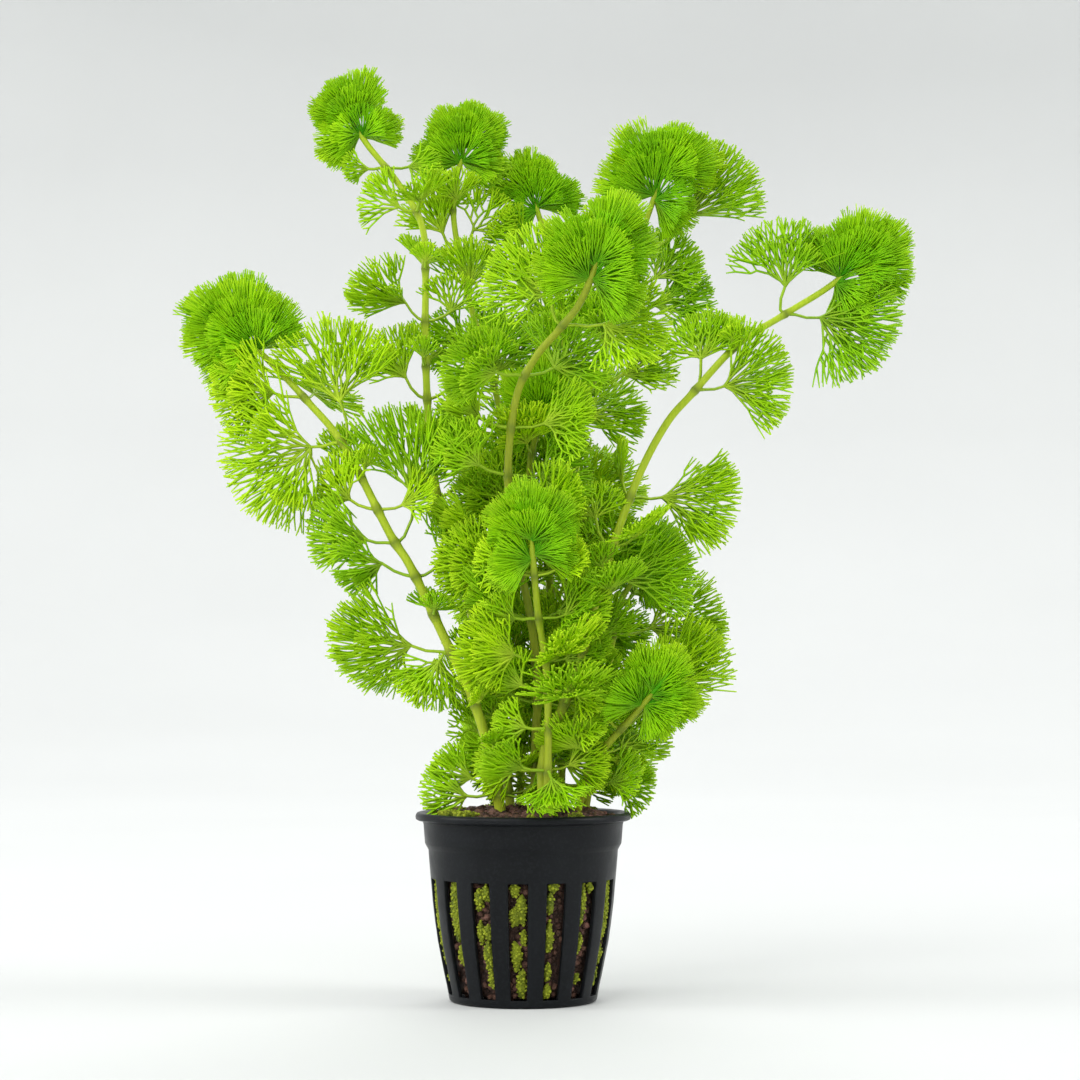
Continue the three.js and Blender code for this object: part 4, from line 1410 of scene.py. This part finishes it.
# The lights: place, the height on the axis that they face, width, height and whose power it has.
LIGHTS = {
    "key_light": ((-0.95, -1.55, 1.6), 0.12, 1.5, 1.5, "key"),
    "left_light": ((-1.8, -0.3, 1.0), 0.1, 0.9, 1.0, "side"),
    "right_light": ((1.8, -0.3, 1.0), 0.1, 0.9, 1.0, "side"),
    "back_light": ((0.2, 1.5, 1.6), 0.12, 1.6, 1.0, "side"),
}
CAMERA = Vector((4.06, -700.0, 83.0)) * MM
CAMERA_AIM = Vector((4.06, 0.0, 111.4)) * MM


def facing(place, aim):
    """The turn of a light or camera that looks from one point to another."""
    return (Vector(aim) - Vector(place)).to_track_quat("-Z", "Y").to_euler()


def floor_mesh():
    """The studio floor with its rising edge, seen from inside."""
    form = bmesh.new()
    turns = [math.tau * n / SWEEP_SIDES for n in range(SWEEP_SIDES)]
    rows = [[form.verts.new(around(r, a, z)) for a in turns] for r, z in SWEEP]
    form.faces.new(rows[0])
    skin(form, rows[::-1])
    return mesh_from(form, "studio_floor")


class CABOMBA_OT_stage(bpy.types.Operator):
    """Set up the floor, the soft studio lights and the camera"""

    bl_idname = "cabomba.stage"
    bl_label = "Stage"

    def execute(self, context):
        scene = context.scene
        settings = scene.cabomba_stage
        made = floor_mesh()
        made.shade_smooth()
        made.materials.append(floor_finish(settings))
        floor = bpy.data.objects.new("studio_floor", made)
        scene.collection.objects.link(floor)

        world = bpy.data.worlds.new("Studio air")
        world.use_nodes = True
        air = world.node_tree.nodes["Background"]
        feed(world.node_tree, air, {"Color": (0.97, 0.98, 1.0, 1.0), "Strength": 0.95})
        scene.world = world
        scene.view_settings.view_transform = "Standard"

        for name, (place, aim, wide, high, whose) in LIGHTS.items():
            light = bpy.data.lights.new(name, "AREA")
            light.shape = "RECTANGLE"
            light.size, light.size_y = wide, high
            light.energy = getattr(settings, whose)
            lamp = bpy.data.objects.new(name, light)
            lamp.location = place
            lamp.visible_camera = False
            lamp.rotation_euler = facing(place, (0, 0, aim))
            scene.collection.objects.link(lamp)

        lens = bpy.data.cameras.new("camera")
        lens.lens = settings.lens
        lens.sensor_width = 36.0
        lens.clip_start, lens.clip_end = 0.05, 20.0
        camera = bpy.data.objects.new("camera", lens)
        camera.location = CAMERA
        camera.rotation_euler = facing(CAMERA, CAMERA_AIM)
        scene.collection.objects.link(camera)
        scene.camera = camera
        return {"FINISHED"}


class CABOMBA_OT_pot(bpy.types.Operator):
    """Make the slotted net pot"""

    bl_idname = "cabomba.pot"
    bl_label = "Net pot"

    def execute(self, context):
        settings = context.scene.cabomba_pot
        pot = bpy.data.objects.new("net_pot", pot_mesh(settings))
        context.scene.collection.objects.link(pot)
        edges = pot.modifiers.new("Moulded edges", "BEVEL")
        edges.width = settings.edge
        edges.segments = 2
        edges.limit_method = "ANGLE"
        edges.angle_limit = math.radians(48)
        graph = context.evaluated_depsgraph_get()
        made = bpy.data.meshes.new_from_object(pot.evaluated_get(graph), depsgraph=graph)
        pot.modifiers.remove(edges)
        pot.data = made
        made.name = "net_pot"
        made.shade_smooth()
        made.set_sharp_from_angle(angle=math.radians(40))
        made.materials.append(plastic_finish(settings))
        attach(pot, "root")
        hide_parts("pot")
        return {"FINISHED"}


class CABOMBA_OT_soil(bpy.types.Operator):
    """Fill the pot with damp soil and scatter its grains"""

    bl_idname = "cabomba.soil"
    bl_label = "Soil"

    def execute(self, context):
        settings = context.scene.cabomba_soil
        finish = soil_finish(settings)
        for name, mesh, size, length, seed in (
            ("soil_grains", soil_mesh(settings), settings.grain, 0.8, settings.seed),
            ("soil_chunks", soil_top_mesh(settings), settings.chunk, 0.75, settings.seed + 7),
        ):
            inputs = {"Length": length, "Roughness Scale": 0.77 / size, "Seed": seed}
            lumpy_piece(name, mesh, size, GRAIN, {**inputs, "Finish": finish})
        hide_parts("soil")
        return {"FINISHED"}


class CABOMBA_OT_moss(bpy.types.Operator):
    """Lay the patches of moss behind the slots and on the soil"""

    bl_idname = "cabomba.moss"
    bl_label = "Moss"

    def execute(self, context):
        settings = context.scene.cabomba_soil
        inputs = {"Length": 1.3, "Roughness Scale": 1500.0, "Seed": settings.seed + 1}
        inputs["Finish"] = moss_finish(settings)
        lumpy_piece("moss_patches", moss_mesh(), settings.sprig, SPRIG, inputs)
        return {"FINISHED"}


class CABOMBA_OT_stems(bpy.types.Operator):
    """Grow the stems with their swollen nodes"""

    bl_idname = "cabomba.stems"
    bl_label = "Stems"

    def execute(self, context):
        settings = context.scene.cabomba_stem
        finish = stem_finish(settings)
        for name in STEMS:
            stem_piece(Stem(name, settings.step), settings, finish)
        return {"FINISHED"}


class CABOMBA_OT_leaf_pairs(bpy.types.Operator):
    """Grow the main pairs of leaves at the stems' nodes"""

    bl_idname = "cabomba.leaf_pairs"
    bl_label = "Leaf pairs"

    def execute(self, context):
        settings, step = context.scene.cabomba_leaf, context.scene.cabomba_stem.step
        for n, (letter, height, *leaves) in enumerate(LEAF_PAIRS):
            dice = random.Random(settings.seed * 1000 + n)
            strands = Strands()
            pair_strands(strands, Stem(letter, step), height, leaves, settings, dice)
            name = f"divided_leaves_{letter}_{height}"
            piece = strand_piece(name, strands, settings)
            if (letter, height) not in INNER_PAIRS:
                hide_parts(f"leaf_pair_{letter}_{height}")
        return {"FINISHED"}


class CABOMBA_OT_small_leaves(bpy.types.Operator):
    """Grow the smaller pairs of leaves that fill the bush"""

    bl_idname = "cabomba.small_leaves"
    bl_label = "Small leaves"

    def execute(self, context):
        settings, step = context.scene.cabomba_leaf, context.scene.cabomba_stem.step
        for n, (letter, pairs) in enumerate(SMALL_PAIRS.items()):
            dice = random.Random(settings.seed * 1000 + 500 + n)
            stem = Stem(letter, step)
            strands = Strands()
            for height, direction, *reaches in pairs:
                leaves = [
                    small_leaf(direction + turn, reach, dice)
                    for turn, reach in zip((0, 180), reaches)
                ]
                pair_strands(strands, stem, height, leaves, settings, dice)
            strand_piece(f"small_leaves_{letter}", strands, settings)
        return {"FINISHED"}


class CABOMBA_OT_tip_tufts(bpy.types.Operator):
    """Grow the tufts of young leaves around the stems' tips"""

    bl_idname = "cabomba.tip_tufts"
    bl_label = "Tip tufts"

    def execute(self, context):
        settings, step = context.scene.cabomba_leaf, context.scene.cabomba_stem.step
        for n, letter in enumerate(STEMS):
            dice = random.Random(settings.seed * 1000 + 900 + n)
            strands = Strands()
            tuft_strands(strands, Stem(letter, step), settings, dice)
            piece = strand_piece(f"tip_leaves_{letter}", strands, settings)
            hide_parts(f"tip_tuft_{letter}")
        return {"FINISHED"}


OPERATORS = (
    CABOMBA_OT_stage,
    CABOMBA_OT_pot,
    CABOMBA_OT_soil,
    CABOMBA_OT_moss,
    CABOMBA_OT_stems,
    CABOMBA_OT_leaf_pairs,
    CABOMBA_OT_small_leaves,
    CABOMBA_OT_tip_tufts,
)

SETTINGS = {
    "cabomba_pot": CabombaPotSettings,
    "cabomba_soil": CabombaSoilSettings,
    "cabomba_stem": CabombaStemSettings,
    "cabomba_leaf": CabombaLeafSettings,
    "cabomba_stage": CabombaStageSettings,
}


class CABOMBA_PT_panel(bpy.types.Panel):
    """Lists the steps that build the plant"""

    bl_idname = "CABOMBA_PT_panel"
    bl_label = "Cabomba"
    bl_space_type = "VIEW_3D"
    bl_region_type = "UI"
    bl_category = "Cabomba"

    def draw(self, context):
        for operator in OPERATORS:
            self.layout.operator(operator.bl_idname)
        for name, group in SETTINGS.items():
            box = self.layout.box()
            box.label(text=group.__doc__)
            for label in group.__annotations__:
                box.prop(getattr(context.scene, name), label)


def register():
    for group in SETTINGS.values():
        bpy.utils.register_class(group)
    for name, group in SETTINGS.items():
        setattr(bpy.types.Scene, name, bpy.props.PointerProperty(type=group))
    for operator in OPERATORS:
        bpy.utils.register_class(operator)
    bpy.utils.register_class(CABOMBA_PT_panel)


def unregister():
    bpy.utils.unregister_class(CABOMBA_PT_panel)
    for operator in reversed(OPERATORS):
        bpy.utils.unregister_class(operator)
    for name, group in SETTINGS.items():
        delattr(bpy.types.Scene, name)
        bpy.utils.unregister_class(group)


def main():
    register()
    for operator in OPERATORS:
        family, step = operator.bl_idname.split(".")
        getattr(getattr(bpy.ops, family), step)()


if __name__ == "__main__":
    main()
